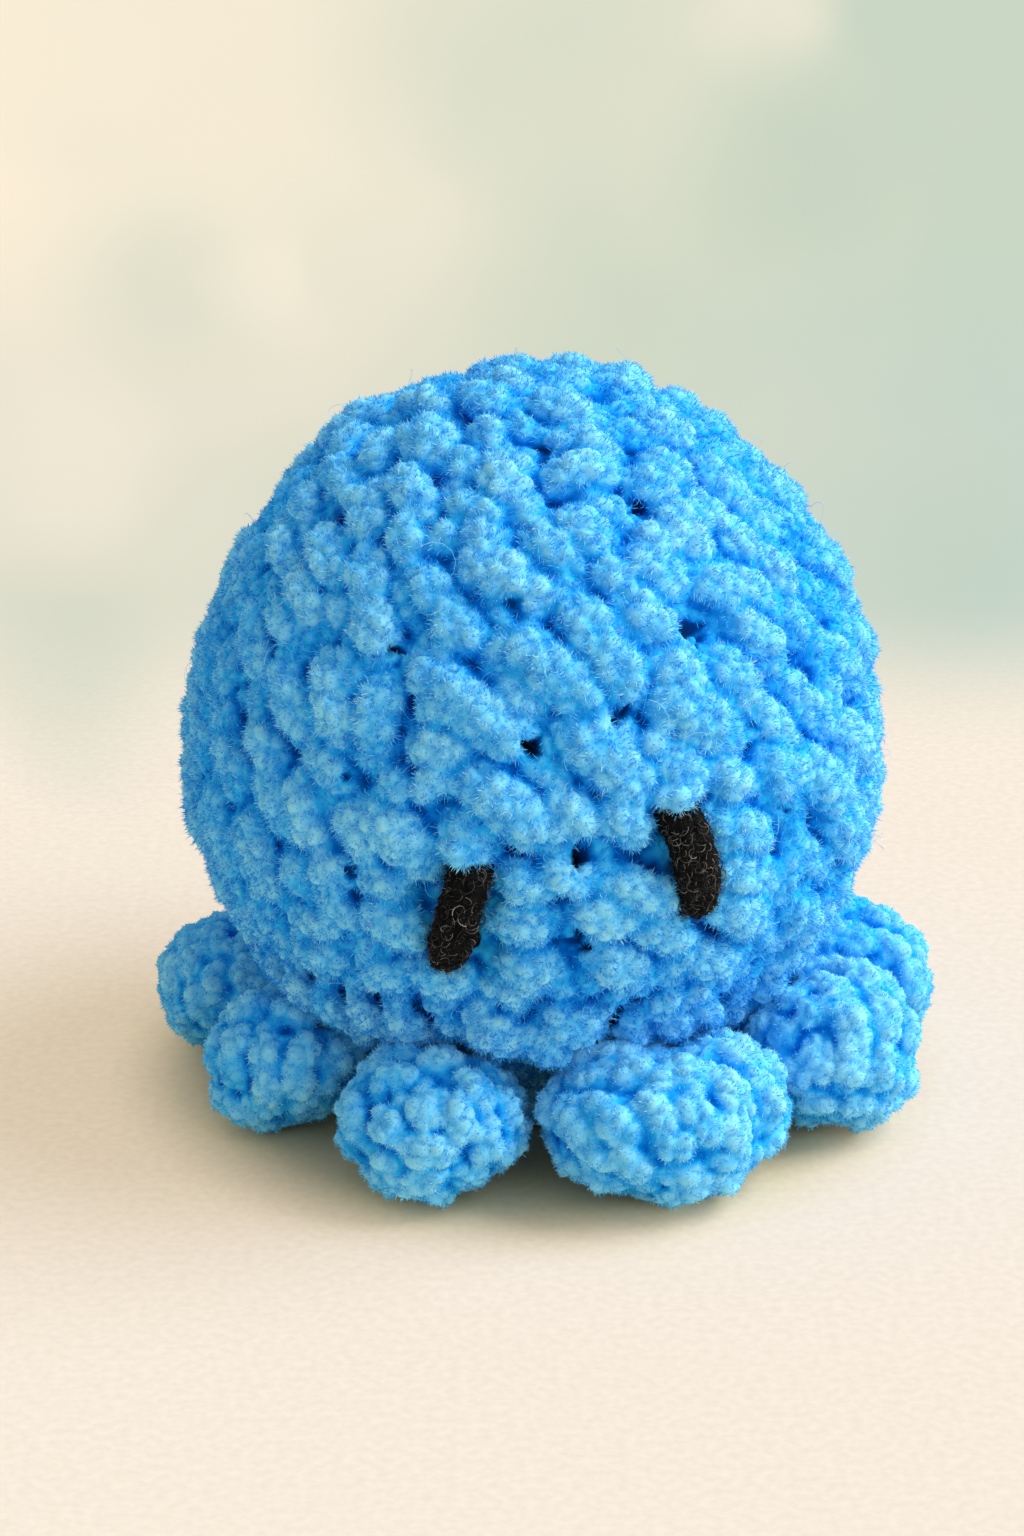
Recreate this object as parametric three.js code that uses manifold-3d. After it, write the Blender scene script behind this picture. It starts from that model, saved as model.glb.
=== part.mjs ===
// A small crocheted octopus in thick chenille yarn: an egg-shaped stuffed head closed by a round base,
// eight short stuffed tentacles sewn under its lower curve, and two eyes made of one length of black yarn.
// Millimetres, +Z up. The origin is the middle of the flat underside, and -Y is the front, between the two
// front tentacles. Bearings are degrees from the front, positive towards +X.
import * as THREE from "three";
import { mergeVertices } from "three/addons/utils/BufferGeometryUtils.js";
import Module from "manifold-3d";

// Head: crocheted in rounds from the crown down
const headWidth = 80; // across the widest round
const headHeight = 85; // crown over the table
const widestHeight = 39; // height of the widest round
const lowestCurve = 3; // height at which the lower curve would close if it weren't cut for the base
const coverThickness = 5.5; // wall of pressed chenille stitches
const neckOpening = 26; // hole that the stuffing went in through

// Stitches of the head: each shows as one leaning strand of yarn that stands out of the cover
const firstRound = 6.9; // down the cover, from the drawn ring at the crown to the middle of the first round
const roundHeight = 9.2; // from one round to the next
const stitchWidth = 9.4; // along a round
const strandWidth = 6.4; // a strand, pressed a little flat
const strandLength = 11; // along its top, so that each strand reaches into the next round
const strandLean = 3.9; // how far each end of a strand is carried round the head
const leanChange = 2.3; // how much more that is on the right side, and less on the left
const roundTwist = 3; // degrees that each round creeps on, past half a stitch
const fewestStitches = 6; // in the drawn ring at the crown
const reliefDepth = 3.4; // how far the creases lie under the tops of the strands
const endDepth = 1.3; // how far a strand goes under at each end
const reliefFade = 10; // height over the tentacles in which the pressed stitches come to their full relief

// Base: a crocheted disc that closes the neck
const baseWidth = 40;
const baseThickness = 5.5;

// Tentacles
const tentacleWidth = 22; // a typical one
const tentacleLength = 23;
const tentacleHeight = 18;
const tentacleTuck = 7; // how far its middle lies inside the head's widest round
const tentacleWall = 4.5;
const rootOpening = 7; // mouth of a tentacle, where it is sewn round to the head
const dentDepth = 2.6; // hollow pressed into the top of a loosely stuffed tentacle
const dentWidth = 13;
const dentLength = 9;
const tipFullness = 0.1; // how much fuller the tip half is than the root half
// Each one as it came off the hook, against the typical one, going round from the front left
const tentacles = [
  { bearing: -19.7, wide: 0.98, long: 0.96, high: 0.97, tucked: 1.16, dented: 0 },
  { bearing: 25.5, wide: 1.345, long: 1.09, high: 1.03, tucked: 1.06, dented: 1 },
  { bearing: 66.3, wide: 0.95, long: 0.96, high: 1.11, tucked: 0.64, dented: 0.6 },
  { bearing: 98, wide: 0.98, long: 1.04, high: 1.055, tucked: 0.71, dented: 0 },
  { bearing: 148, wide: 1.14, long: 1.04, high: 1, tucked: 1, dented: 0 },
  { bearing: 203, wide: 1.09, long: 1, high: 0.97, tucked: 1, dented: 0 },
  { bearing: 260.6, wide: 0.97, long: 1.035, high: 0.92, tucked: 1.04, dented: 0 },
  { bearing: 297.7, wide: 0.82, long: 0.9, high: 0.93, tucked: 1.36, dented: 0 },
].map(({ bearing, wide, long, high, tucked, dented }) => ({
  bearing,
  middle: headWidth / 2 - tucked * tentacleTuck,
  width: wide * tentacleWidth,
  length: long * tentacleLength,
  height: high * tentacleHeight,
  dent: dented * dentDepth,
}));
const tallestTentacle = Math.max(...tentacles.map((tentacle) => tentacle.height));
const tentacleGap = 0.6; // between two neighbours
const restFlat = 0.5; // depth of the flat on which each tentacle stands

// Eyes: each is one arched stitch of the same black yarn, carried behind the face from eye to eye
const eyeYarn = 5.4; // diameter
const eyeLength = 14; // over the two places where it enters the cover
const eyeProud = 2.2; // how far a stitch stands out of the cover
const eyeBend = 3.2; // radius at which the yarn turns into the cover
const eyeTail = 6; // length left inside, past the cover
const faceSlant = 2.85; // how far one eye lies below the widest round, and the other above it
const eyes = [
  { bearing: -11.7, height: widestHeight - 0.95 * faceSlant, lean: 13.8 },
  { bearing: 24.3, height: widestHeight + 1.05 * faceSlant, lean: -13.3 },
];

const clearance = 0.3; // between pieces that touch

// Facets
const headSides = 80;
const headRings = 40;
const innerSides = 22;
const innerRings = 10;
const lobeSides = 18;
const lobeRings = 10;
const lobeInnerSides = 10;
const lobeInnerRings = 6;
const baseSides = 30;
const rimSteps = 5;
const yarnSides = 8;
const yarnSteps = 66;
const bendSteps = 3;
const outlineSteps = 360;
const dentSides = 14;
const mergeDistance = 1e-4;

const blue = 0x3f9fe6;
const black = 0x1f2123;
const white = 0xeef0f2;

const wasm = await Module();
wasm.setup();

// Solids and meshes

function solidOf(geometry) {
  const bare = geometry.clone();
  bare.deleteAttribute("normal");
  bare.deleteAttribute("uv");
  const merged = mergeVertices(bare, mergeDistance);
  return new wasm.Manifold(
    new wasm.Mesh({
      numProp: 3,
      vertProperties: new Float32Array(merged.attributes.position.array),
      triVerts: new Uint32Array(merged.index.array),
    }),
  );
}

function meshOf(solid, name, color, roughness) {
  const shape = solid.getMesh();
  const geometry = new THREE.BufferGeometry();
  geometry.setAttribute("position", new THREE.BufferAttribute(shape.vertProperties, 3));
  geometry.setIndex(new THREE.BufferAttribute(shape.triVerts, 1));
  geometry.computeVertexNormals();
  const material = new THREE.MeshStandardMaterial({ color, roughness, metalness: 0 });
  const mesh = new THREE.Mesh(geometry, material);
  mesh.name = name;
  return mesh;
}

// A turned form about the Z axis. The profile runs from its lowest point to its highest.
function turned(profile, sides) {
  const geometry = new THREE.LatheGeometry(profile, sides);
  geometry.rotateX(Math.PI / 2);
  return solidOf(geometry);
}

function cylinder(radius, bottom, top, sides) {
  return turned(
    [
      new THREE.Vector2(0, bottom),
      new THREE.Vector2(radius, bottom),
      new THREE.Vector2(radius, top),
      new THREE.Vector2(0, top),
    ],
    sides,
  );
}

const farAway = headWidth + headHeight; // longer than anything on the octopus

// Everything below a height
function below(height) {
  const geometry = new THREE.BoxGeometry(2 * farAway, 2 * farAway, farAway);
  geometry.translate(0, 0, height - farAway / 2);
  return solidOf(geometry);
}

// Head

const headRadius = headWidth / 2;

// A point of the head's outline, moved inwards by inset. The angle is 90 degrees at the crown, 0 at the
// widest round and -90 at the bottom.
function headPoint(angle, inset) {
  const rise = angle > 0 ? headHeight - widestHeight : widestHeight - lowestCurve;
  const across = headRadius * Math.cos(angle);
  const up = rise * Math.sin(angle);
  const normal = new THREE.Vector2(rise * Math.cos(angle), headRadius * Math.sin(angle)).normalize();
  const radius = Math.max(0, across - inset * normal.x);
  return new THREE.Vector2(radius, widestHeight + up - inset * normal.y);
}

function eggProfile(inset, rings) {
  const profile = [];
  for (let ring = 0; ring <= rings; ring++) {
    const angle = (ring / rings - 0.5) * Math.PI;
    const point = headPoint(angle, inset);
    if (ring === 0 || ring === rings) point.x = 0;
    profile.push(point);
  }
  return profile;
}

function egg(inset, sides, rings) {
  return turned(eggProfile(inset, rings), sides);
}

// The angle on the head's outline at a distance along it from the crown
function angleAt(distance) {
  const turn = Math.PI / outlineSteps;
  let angle = Math.PI / 2;
  let left = Math.max(0, distance);
  for (let step = 0; step < outlineSteps; step++) {
    const length = headPoint(angle, 0).distanceTo(headPoint(angle - turn, 0));
    if (length >= left) return angle - (turn * left) / length;
    left -= length;
    angle -= turn;
  }
  return angle;
}

// A place on the head's outline, at a distance along it from the crown and carried round from a bearing. It
// is carried less close to the crown, or the strands would circle the drawn ring.
function onHead(bearing, distance, carried) {
  const angle = angleAt(distance);
  const { x, y } = headPoint(angle, 0);
  const turned = bearing + carried / Math.max(x, stitchWidth);
  return new THREE.Vector3(x * Math.sin(turned), -x * Math.cos(turned), y);
}

// The tops of the strands on the head, round by round from the crown to the tentacles
function headStrands() {
  const strands = [];
  let phase = 0;
  for (let middle = firstRound; ; middle += roundHeight) {
    const { x, y } = headPoint(angleAt(middle), 0);
    if (y < tallestTentacle) return strands;
    const count = Math.max(fewestStitches, Math.round((2 * Math.PI * x) / stitchWidth));
    const stitch = (2 * Math.PI) / count;
    phase += stitch / 2 + THREE.MathUtils.degToRad(roundTwist);
    for (let index = 0; index < count; index++) {
      const bearing = phase + index * stitch;
      const carried = strandLean + leanChange * Math.sin(bearing);
      const top = onHead(bearing, middle - strandLength / 2, -carried);
      const bottom = onHead(bearing, middle + strandLength / 2, carried);
      strands.push(new THREE.Line3(top, bottom));
    }
  }
}

// How far a point lies under the top of a strand, or no less than reliefDepth where it is clear of it
function depthBeside(strand, point) {
  const along = strand.closestPointToPointParameter(point, true);
  const away = strand.at(along, new THREE.Vector3()).distanceTo(point);
  const share = Math.min(1, (2 * away) / strandWidth);
  return reliefDepth * (1 - Math.sqrt(1 - share * share)) + endDepth * Math.abs(2 * along - 1) ** 3;
}

// The head's outline with its strands in relief: the creases between them are drawn in
function stitchedEgg() {
  const geometry = new THREE.LatheGeometry(eggProfile(0, headRings), headSides);
  geometry.rotateX(Math.PI / 2);
  const strands = headStrands();
  const position = geometry.attributes.position;
  const point = new THREE.Vector3();
  const normal = new THREE.Vector3();
  for (let index = 0; index < position.count; index++) {
    point.fromBufferAttribute(position, index);
    let depth = reliefDepth;
    for (const strand of strands) {
      depth = Math.min(depth, depthBeside(strand, point));
    }
    const shown = THREE.MathUtils.smoothstep(point.z, tallestTentacle, tallestTentacle + reliefFade);
    const rise = point.z > widestHeight ? headHeight - widestHeight : widestHeight - lowestCurve;
    normal.set(point.x / headRadius ** 2, point.y / headRadius ** 2, (point.z - widestHeight) / rise ** 2);
    normal.normalize();
    point.addScaledVector(normal, -depth * shown);
    position.setXYZ(index, point.x, point.y, point.z);
  }
  return solidOf(geometry);
}

// Height of the head's underside at a distance from its axis, below the widest round
function undersideAt(radius) {
  const share = Math.min(1, radius / headRadius);
  return widestHeight - (widestHeight - lowestCurve) * Math.sqrt(1 - share * share);
}

const rimHeight = baseThickness + clearance; // the cover's lower rim lies on the base
const neckRadius = neckOpening / 2;

// Eyes

// A point of the eye yarn: along is measured up the stitch, outwards from the cover's surface, and sideways
// along the face.
function eyePoint(eye, along, outwards, sideways) {
  const bearing = THREE.MathUtils.degToRad(eye.bearing);
  const lean = THREE.MathUtils.degToRad(eye.lean);
  const rise = eye.height > widestHeight ? headHeight - widestHeight : widestHeight - lowestCurve;
  const latitude = Math.asin((eye.height - widestHeight) / rise);
  const surface = headPoint(latitude, 0);
  const level = new THREE.Vector3(Math.sin(bearing), -Math.cos(bearing), 0);
  const normal = level.clone().multiplyScalar(rise * Math.cos(latitude));
  normal.z = headRadius * Math.sin(latitude);
  normal.normalize();
  const across = new THREE.Vector3(Math.cos(bearing), Math.sin(bearing), 0);
  const upward = new THREE.Vector3().crossVectors(across, normal).negate();
  if (upward.z < 0) upward.negate();
  const stitch = upward.clone().multiplyScalar(Math.cos(lean)).addScaledVector(across, Math.sin(lean));
  const side = across.clone().multiplyScalar(Math.cos(lean)).addScaledVector(upward, -Math.sin(lean));
  return level
    .clone()
    .multiplyScalar(surface.x)
    .setZ(surface.y)
    .addScaledVector(stitch, along)
    .addScaledVector(normal, outwards)
    .addScaledVector(side, sideways);
}

// The middle line of one eye's stitch, from the tail inside, up the stitch and back in at its top, where it
// turns towards the other eye.
function eyeStitch(eye, towards) {
  const half = (eyeLength - eyeYarn) / 2;
  const crown = eyeProud - eyeYarn / 2;
  const inside = -coverThickness - clearance - eyeYarn / 2;
  const points = [];
  points.push(eyePoint(eye, -half, -coverThickness - eyeTail, 0));
  for (let step = 0; step <= bendSteps; step++) {
    const turn = (step / bendSteps) * (Math.PI / 2);
    const along = -half + eyeBend * (1 - Math.cos(turn));
    points.push(eyePoint(eye, along, crown - eyeBend + eyeBend * Math.sin(turn), 0));
  }
  for (let step = 0; step <= bendSteps; step++) {
    const turn = (step / bendSteps) * (Math.PI / 2);
    const along = half - eyeBend * (1 - Math.sin(turn));
    points.push(eyePoint(eye, along, crown - eyeBend + eyeBend * Math.cos(turn), 0));
  }
  for (let step = 1; step <= bendSteps; step++) {
    const turn = (step / bendSteps) * (Math.PI / 2);
    const outwards = inside + eyeBend * (1 - Math.sin(turn));
    points.push(eyePoint(eye, half, outwards, towards * eyeBend * (1 - Math.cos(turn))));
  }
  return points;
}

// The yarn as a tube along its whole path: stitch, carried run behind the face, stitch
function eyeYarnSolid(radius) {
  const path = new THREE.CatmullRomCurve3(
    [...eyeStitch(eyes[0], 1), ...eyeStitch(eyes[1], -1).reverse()],
    false,
    "centripetal",
  );
  const section = new THREE.Shape();
  for (let side = 0; side < yarnSides; side++) {
    const turn = (side / yarnSides) * 2 * Math.PI;
    const x = radius * Math.cos(turn);
    const y = radius * Math.sin(turn);
    if (side === 0) section.moveTo(x, y);
    else section.lineTo(x, y);
  }
  section.closePath();
  return solidOf(
    new THREE.ExtrudeGeometry(section, { steps: yarnSteps, bevelEnabled: false, extrudePath: path }),
  );
}

// Tentacles

// Half the height, or half the width, of a tentacle at a place along it, from -1 at its root to 1 at its tip,
// as a share of its largest.
function fullness(place) {
  return Math.sqrt(Math.max(0, 1 - place * place)) * (1 + tipFullness * place);
}

function restingMiddle(tentacle) {
  return tentacle.height / 2 - restFlat;
}

// Turns a form whose Y axis runs outwards, with the middle of a tentacle as its origin, into place
function placed(geometry, tentacle) {
  const bearing = THREE.MathUtils.degToRad(tentacle.bearing);
  const outwards = new THREE.Vector3(Math.sin(bearing), -Math.cos(bearing), 0);
  const sideways = new THREE.Vector3(-Math.cos(bearing), -Math.sin(bearing), 0);
  const upwards = new THREE.Vector3(0, 0, 1);
  const place = new THREE.Matrix4().makeBasis(sideways, outwards, upwards);
  place.setPosition(outwards.multiplyScalar(tentacle.middle).setZ(restingMiddle(tentacle)));
  geometry.applyMatrix4(place);
  return solidOf(geometry);
}

function lobe(tentacle, inset, sides, rings) {
  const profile = [];
  for (let ring = 0; ring <= rings; ring++) {
    const place = -Math.cos((ring / rings) * Math.PI);
    const radius = ring === 0 || ring === rings ? 0 : fullness(place);
    profile.push(new THREE.Vector2(radius, place));
  }
  const geometry = new THREE.LatheGeometry(profile, sides);
  geometry.scale(tentacle.width / 2 - inset, tentacle.length / 2 - inset, tentacle.height / 2 - inset);
  return placed(geometry, tentacle);
}

// The hollow on top of a tentacle, larger all round by grow
function hollow(tentacle, grow) {
  const deep = tentacle.dent + grow;
  const geometry = new THREE.SphereGeometry(1, dentSides, dentSides / 2);
  geometry.scale(dentWidth / 2 + grow, dentLength / 2 + grow, deep);
  geometry.translate(0, 0, tentacle.height / 2);
  return placed(geometry, tentacle);
}

// The mouth of a tentacle, from its middle towards the middle of the head
function mouth(tentacle, radius) {
  const geometry = new THREE.CylinderGeometry(radius, radius, headRadius, lobeInnerSides);
  geometry.translate(0, headRadius / 2, 0);
  const towards = new THREE.Vector3(0, -tentacle.middle, widestHeight - restingMiddle(tentacle));
  const turn = new THREE.Quaternion().setFromUnitVectors(new THREE.Vector3(0, 1, 0), towards.normalize());
  geometry.applyQuaternion(turn);
  return placed(geometry, tentacle);
}

// The bearing of the border between a tentacle and the next one, nearer to the narrower of the two
function borderAfter(index) {
  const here = tentacles[index];
  const next = tentacles[(index + 1) % tentacles.length];
  const step = (((next.bearing - here.bearing) % 360) + 360) % 360;
  return here.bearing + (step * here.width) / (here.width + next.width);
}

// All that lies past a border, on the side of larger bearings where side is 1, moved back by inset
function past(border, side, inset) {
  const bearing = THREE.MathUtils.degToRad(border);
  const geometry = new THREE.BoxGeometry(farAway, 2 * farAway, farAway);
  geometry.translate(side * (farAway / 2 - inset), 0, 0);
  geometry.rotateZ(bearing);
  return solidOf(geometry);
}

// The space that one tentacle may fill, with inset to its neighbours and the table
function confined(solid, index, inset) {
  const last = (index + tentacles.length - 1) % tentacles.length;
  return solid
    .subtract(past(borderAfter(index), 1, tentacleGap / 2 + inset))
    .subtract(past(borderAfter(last), -1, tentacleGap / 2 + inset))
    .subtract(below(inset));
}

function tentacleInside(index, extra) {
  const tentacle = tentacles[index];
  const inset = tentacleWall + extra;
  let inside = lobe(tentacle, inset, lobeInnerSides, lobeInnerRings);
  if (tentacle.dent > 0) inside = inside.subtract(hollow(tentacle, inset));
  return confined(inside, index, inset).add(mouth(tentacle, rootOpening / 2 - extra));
}

// What a tentacle keeps clear of: the head and the base, grown by the clearance
const headSpace = egg(-clearance, headSides, headRings);
const baseSpace = base(clearance);

function tentacleCover(index) {
  const tentacle = tentacles[index];
  let cover = lobe(tentacle, 0, lobeSides, lobeRings);
  if (tentacle.dent > 0) cover = cover.subtract(hollow(tentacle, 0));
  return confined(cover, index, 0)
    .subtract(tentacleInside(index, 0))
    .subtract(headSpace)
    .subtract(baseSpace);
}

function tentacleFilling(index) {
  return tentacleInside(index, clearance).subtract(headSpace).subtract(baseSpace);
}

// The crease between a tentacle and the head, about which the tentacle swings: the furthest place out at
// which its top still meets the head's underside.
function crease(tentacle) {
  const half = tentacle.length / 2;
  const topAt = (radius) =>
    restingMiddle(tentacle) + (tentacle.height / 2) * fullness((radius - tentacle.middle) / half);
  let inner = tentacle.middle - half / 2;
  let outer = tentacle.middle + half;
  for (let halving = 0; halving < 40; halving++) {
    const radius = (inner + outer) / 2;
    if (topAt(radius) > undersideAt(radius)) inner = radius;
    else outer = radius;
  }
  return { radius: inner, height: undersideAt(inner) };
}

// Base

function base(grow) {
  const half = baseThickness / 2;
  const straight = baseWidth / 2 - half;
  const profile = [new THREE.Vector2(0, -grow)];
  for (let step = 0; step <= rimSteps; step++) {
    const turn = (step / rimSteps - 0.5) * Math.PI;
    const radius = straight + (half + grow) * Math.cos(turn);
    profile.push(new THREE.Vector2(radius, half + (half + grow) * Math.sin(turn)));
  }
  profile.push(new THREE.Vector2(0, baseThickness + grow));
  return turned(profile, baseSides);
}

// Assembly

const octopus = new THREE.Group();

const yarnSpace = eyeYarnSolid(eyeYarn / 2 + clearance);

const headCover = stitchedEgg()
  .subtract(egg(coverThickness, innerSides, innerRings))
  .subtract(cylinder(neckRadius, lowestCurve - clearance, widestHeight, innerSides))
  .subtract(below(rimHeight))
  .subtract(yarnSpace);
octopus.add(meshOf(headCover, "head_cover", blue, 0.95));

const headFilling = egg(coverThickness + clearance, innerSides, innerRings)
  .add(cylinder(neckRadius - clearance, rimHeight, widestHeight, innerSides))
  .subtract(yarnSpace);
octopus.add(meshOf(headFilling, "head_filling", white, 1));

octopus.add(meshOf(base(0), "base_cover", blue, 0.95));
octopus.add(meshOf(eyeYarnSolid(eyeYarn / 2), "eye_yarn", black, 0.9));

tentacles.forEach((tentacle, index) => {
  const name = `tentacle_${index + 1}`;
  const { radius, height } = crease(tentacle);
  const cover = meshOf(tentacleCover(index), `${name}_cover`, blue, 0.95);
  const bearing = THREE.MathUtils.degToRad(tentacle.bearing);
  cover.userData.crease = [radius * Math.sin(bearing), -radius * Math.cos(bearing), height];
  octopus.add(cover);
  octopus.add(meshOf(tentacleFilling(index), `${name}_filling`, white, 1));
});

export default octopus;
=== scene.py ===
# The looks of a small crocheted octopus in thick chenille yarn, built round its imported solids.
# Lengths are millimetres in the row frame until a mesh is made. Bearings are degrees from the front (-Y),
# positive towards +X.
import math

import bpy
import numpy as np
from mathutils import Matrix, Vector
from mathutils.bvhtree import BVHTree
from mathutils.kdtree import KDTree


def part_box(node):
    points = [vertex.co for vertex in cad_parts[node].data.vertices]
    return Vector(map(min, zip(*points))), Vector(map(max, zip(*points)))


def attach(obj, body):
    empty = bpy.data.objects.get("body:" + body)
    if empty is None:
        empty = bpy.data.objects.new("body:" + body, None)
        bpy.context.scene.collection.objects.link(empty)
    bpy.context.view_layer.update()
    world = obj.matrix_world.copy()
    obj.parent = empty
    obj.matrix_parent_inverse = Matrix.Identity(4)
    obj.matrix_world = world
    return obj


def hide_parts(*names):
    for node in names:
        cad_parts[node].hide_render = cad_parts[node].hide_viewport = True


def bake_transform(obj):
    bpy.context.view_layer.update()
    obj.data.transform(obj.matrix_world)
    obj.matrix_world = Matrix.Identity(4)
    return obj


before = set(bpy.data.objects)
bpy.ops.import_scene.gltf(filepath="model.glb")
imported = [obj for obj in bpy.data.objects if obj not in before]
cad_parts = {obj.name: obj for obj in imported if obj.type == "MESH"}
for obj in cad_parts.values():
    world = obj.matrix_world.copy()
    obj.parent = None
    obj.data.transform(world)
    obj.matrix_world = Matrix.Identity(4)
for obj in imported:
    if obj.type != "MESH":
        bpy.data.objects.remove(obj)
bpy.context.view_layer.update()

MM = 0.001

# Camera, as the photograph was taken
PHOTO_WIDTH = 1024
PHOTO_HEIGHT = 1536
CAMERA_ELEVATION = math.radians(22)
CAMERA_DISTANCE = 480
CAMERA_TARGET = np.array([-2.4, 0, 37.2])
FOCAL_PIXELS = 4227
SENSOR = 36
CLIP = (0.01, 20)  # metres

# Head: its outline and its rounds of stitches, as in the solid
HEAD_RADIUS = 40
CROWN = 85
WIDEST = 39  # height of the widest round
LOWEST_CURVE = 3  # height at which the lower curve would close
FIRST_ROUND = 6.9  # down the cover, from the crown to the middle of the first round
ROUND_HEIGHT = 9.2
STITCH_WIDTH = 9.4
STRAND_LENGTH = 11
STRAND_LEAN = 3.9  # how far each end of a strand is carried round the head
LEAN_CHANGE = 2.3  # how much more that is on the right side, and less on the left
ROUND_TWIST = 3  # degrees that each round creeps on, past half a stitch
FEWEST_STITCHES = 6
STRAND_RADIUS = 3.1
LOW_ROUNDS_FROM = 25  # height under which the stitches are small and pressed
LOW_ROUNDS_TO = 6
LOW_ROUND_HEIGHT = 4.6
LOW_STITCH_WIDTH = 5.2
LOW_STRAND_RADIUS = 1.9
LOWEST_FROM = 19  # height under which they stand out, to close the crease over the tentacles
LOWEST_FULLER = 1.1

# Yarn
BED = 4.0  # how far the ground under the strands lies inside the solid
HEAD_VOXEL = 0.42
LOBE_VOXEL = 0.42
TUFT = 2.2  # size of one tuft of pile
TUFT_HEIGHT = 0.95
LOBE_TUFT_HEIGHT = 1.0
FINE_TUFT = 1.1
FINE_TUFT_HEIGHT = 0.3
TUFT_BORDER = 0.3  # width of the border of a tuft, in its sizes
TUFT_RIM, TUFT_DOME = 0.45, 0.55  # shares of its height at its border and over it
TUFT_LEVEL = 0.6  # share of its height that lies at the level of the yarn
DEEP_TUFTS, OPEN_TUFTS = 0.3, 0.7  # share of its height deep between strands, and how much more on top
CREASE_TUFTS = 0.7  # share of it that is lost in a crease
TUFT_SMOOTHING = 0.35
SHAKEN, SHAKEN_SIZE = 0.5, 3  # how far the borders are moved by noise, and the size of the noise
HOLLOW_ROUNDS = 14  # of smoothing, against which the creases are found
HOLLOW_DEPTH = 0.3  # to that smoother surface, where a crease is at its darkest in painted shade
BARE_UNDER, BARE_SPAN = 4.2, 2.5  # depth under the solid where fibres start, and over which they fill up
DARK_UNDER, DARK_SPAN = 3.6, 3.0  # the same for the yarn's lightness: deeper yarn is painted darker, as painted shade
CREASE_BARE = 0.97  # share of the fibres that is missing in a crease
GAP_DEPTH = 1.8  # how much deeper the head goes in where a gap shows between its strands
GAP_BARE = 0.15  # share of that depth from which there are no fibres
GAP_SHARP, GAP_SHOWN = 1.6, 0.3  # how fast the painted shade in a gap, a near-black colour, sets in, and from how dark
BRIGHT_LIFT, BRIGHT_TUFT, BRIGHT_CREASE = 0.55, 0.45, 0.5  # what paints fibres lighter, as painted light high up and on the tufts, and darker in a crease, as painted shade
FIBRE_WIDTH = 0.1
FIBRE_WIDTHS = (0.8, 1.25)  # of that, from fibre to fibre
FIBRE_LENGTH = (0.6, 1.15)
FIBRE_STAND = 0.6  # how much a fibre points away from the yarn
FIBRE_SPREAD = 1.3  # how much away from its tuft's middle
FIBRE_WILD = 0.8  # and how much by chance
FIBRE_OUT, FIBRE_TURNED = 0.15, 0.6  # least that it points outwards, and how far it is turned out if not
FIBRE_CURL = (-0.1, 0.35)  # how far its tip bends, in its lengths
FIBRE_SIDEWAYS = 0.3  # how much of the bend goes sideways
FIBRE_SUNK = 0.12  # how deep its root lies in the yarn
FIBRE_MIDDLE, MIDDLE_BEND, MIDDLE_WIDTH = 0.55, 0.3, 0.75  # place of its middle, bend and width there
MIDDLE_SHADE = 0.6  # how pale it is there, on the way from its painted shade at the root to its painted light at the tip
FIBRE_END = 0.97
SIDE_SHORTER = 0.3  # share by which fibres are shorter that don't face the front
SHADED_UNDER = 32  # height under which the head's fibres are darker, in its own shade
SHADED_LEAST = 0.4
PRESSED_UNDER = 7  # height under which the tentacles' yarn is pressed in on the table
PRESSED = 0.9
FIBRES_PER_MM2 = 13
FIBRES_PER_PIECE = 60000
SHADES = 32  # different shades of fibre
SHADE_EDGE = 0.1  # share of a shade's width on the map that is left free beside a fibre
SHADE_CHANCE = 0.5
FIBRE_ROOT = 0.5  # how pale a fibre of the palest shade is at its root, where it is darker as painted shade in the pile
FIBRE_TIP = 0.75  # and how much paler at its tip, as painted light
STRAYS_PER_MM2 = 0.02
CURL_STEPS = 7
CURL_ARCH = (0.1, 0.95)  # the part of an arch that a curl follows, of its height
CURL_ROOT = 0.4  # how pale it is at its root, on the way to its tip, darker there as painted shade and paler as painted light
LOWEST_YARN = 0.1  # over the table

TENTACLES = sum(name.endswith("_cover") and name.startswith("tentacle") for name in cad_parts)


def unit(vectors):
    return vectors / np.maximum(np.linalg.norm(vectors, axis=-1, keepdims=True), 1e-9)


# Noise

LATTICE = np.array([73856093, 19349663, 83492791], np.uint64)
SEED_STEP = 7919
LANE_STEP = 374761393
MIXERS = ((15, 2246822519), (13, 3266489917))
LAST_SHIFT = 16
MASK = np.uint64(0xFFFFFFFF)


def hashed(cells, seed):
    """Three numbers from 0 to 1 for each row of whole numbers, the same in each run."""
    mixed = (cells.astype(np.uint64) * LATTICE).sum(-1) + np.uint64(seed * SEED_STEP)
    lanes = []
    for lane in range(3):
        x = (mixed + np.uint64(lane * LANE_STEP)) & MASK
        for shift, factor in MIXERS:
            x = ((x ^ (x >> np.uint64(shift))) * np.uint64(factor)) & MASK
        lanes.append((x ^ (x >> np.uint64(LAST_SHIFT))) / float(MASK))
    return np.stack(lanes, -1)


def cells(points, size, seed):
    """Distance from each point to the nearest and second nearest of scattered seeds, and the way from the
    nearest one, all in sizes."""
    scaled = points / size
    home = np.floor(scaled).astype(np.int64)
    nearest = np.full(len(points), np.inf)
    second = nearest.copy()
    way = np.zeros_like(scaled)
    for step in np.ndindex(3, 3, 3):
        cell = home + np.array(step) - 1
        apart = scaled - cell - hashed(cell, seed)
        away = np.linalg.norm(apart, axis=1)
        way = np.where((away < nearest)[:, None], apart, way)
        second = np.minimum(second, np.maximum(nearest, away))
        nearest = np.minimum(nearest, away)
    return nearest, second, way


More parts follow.
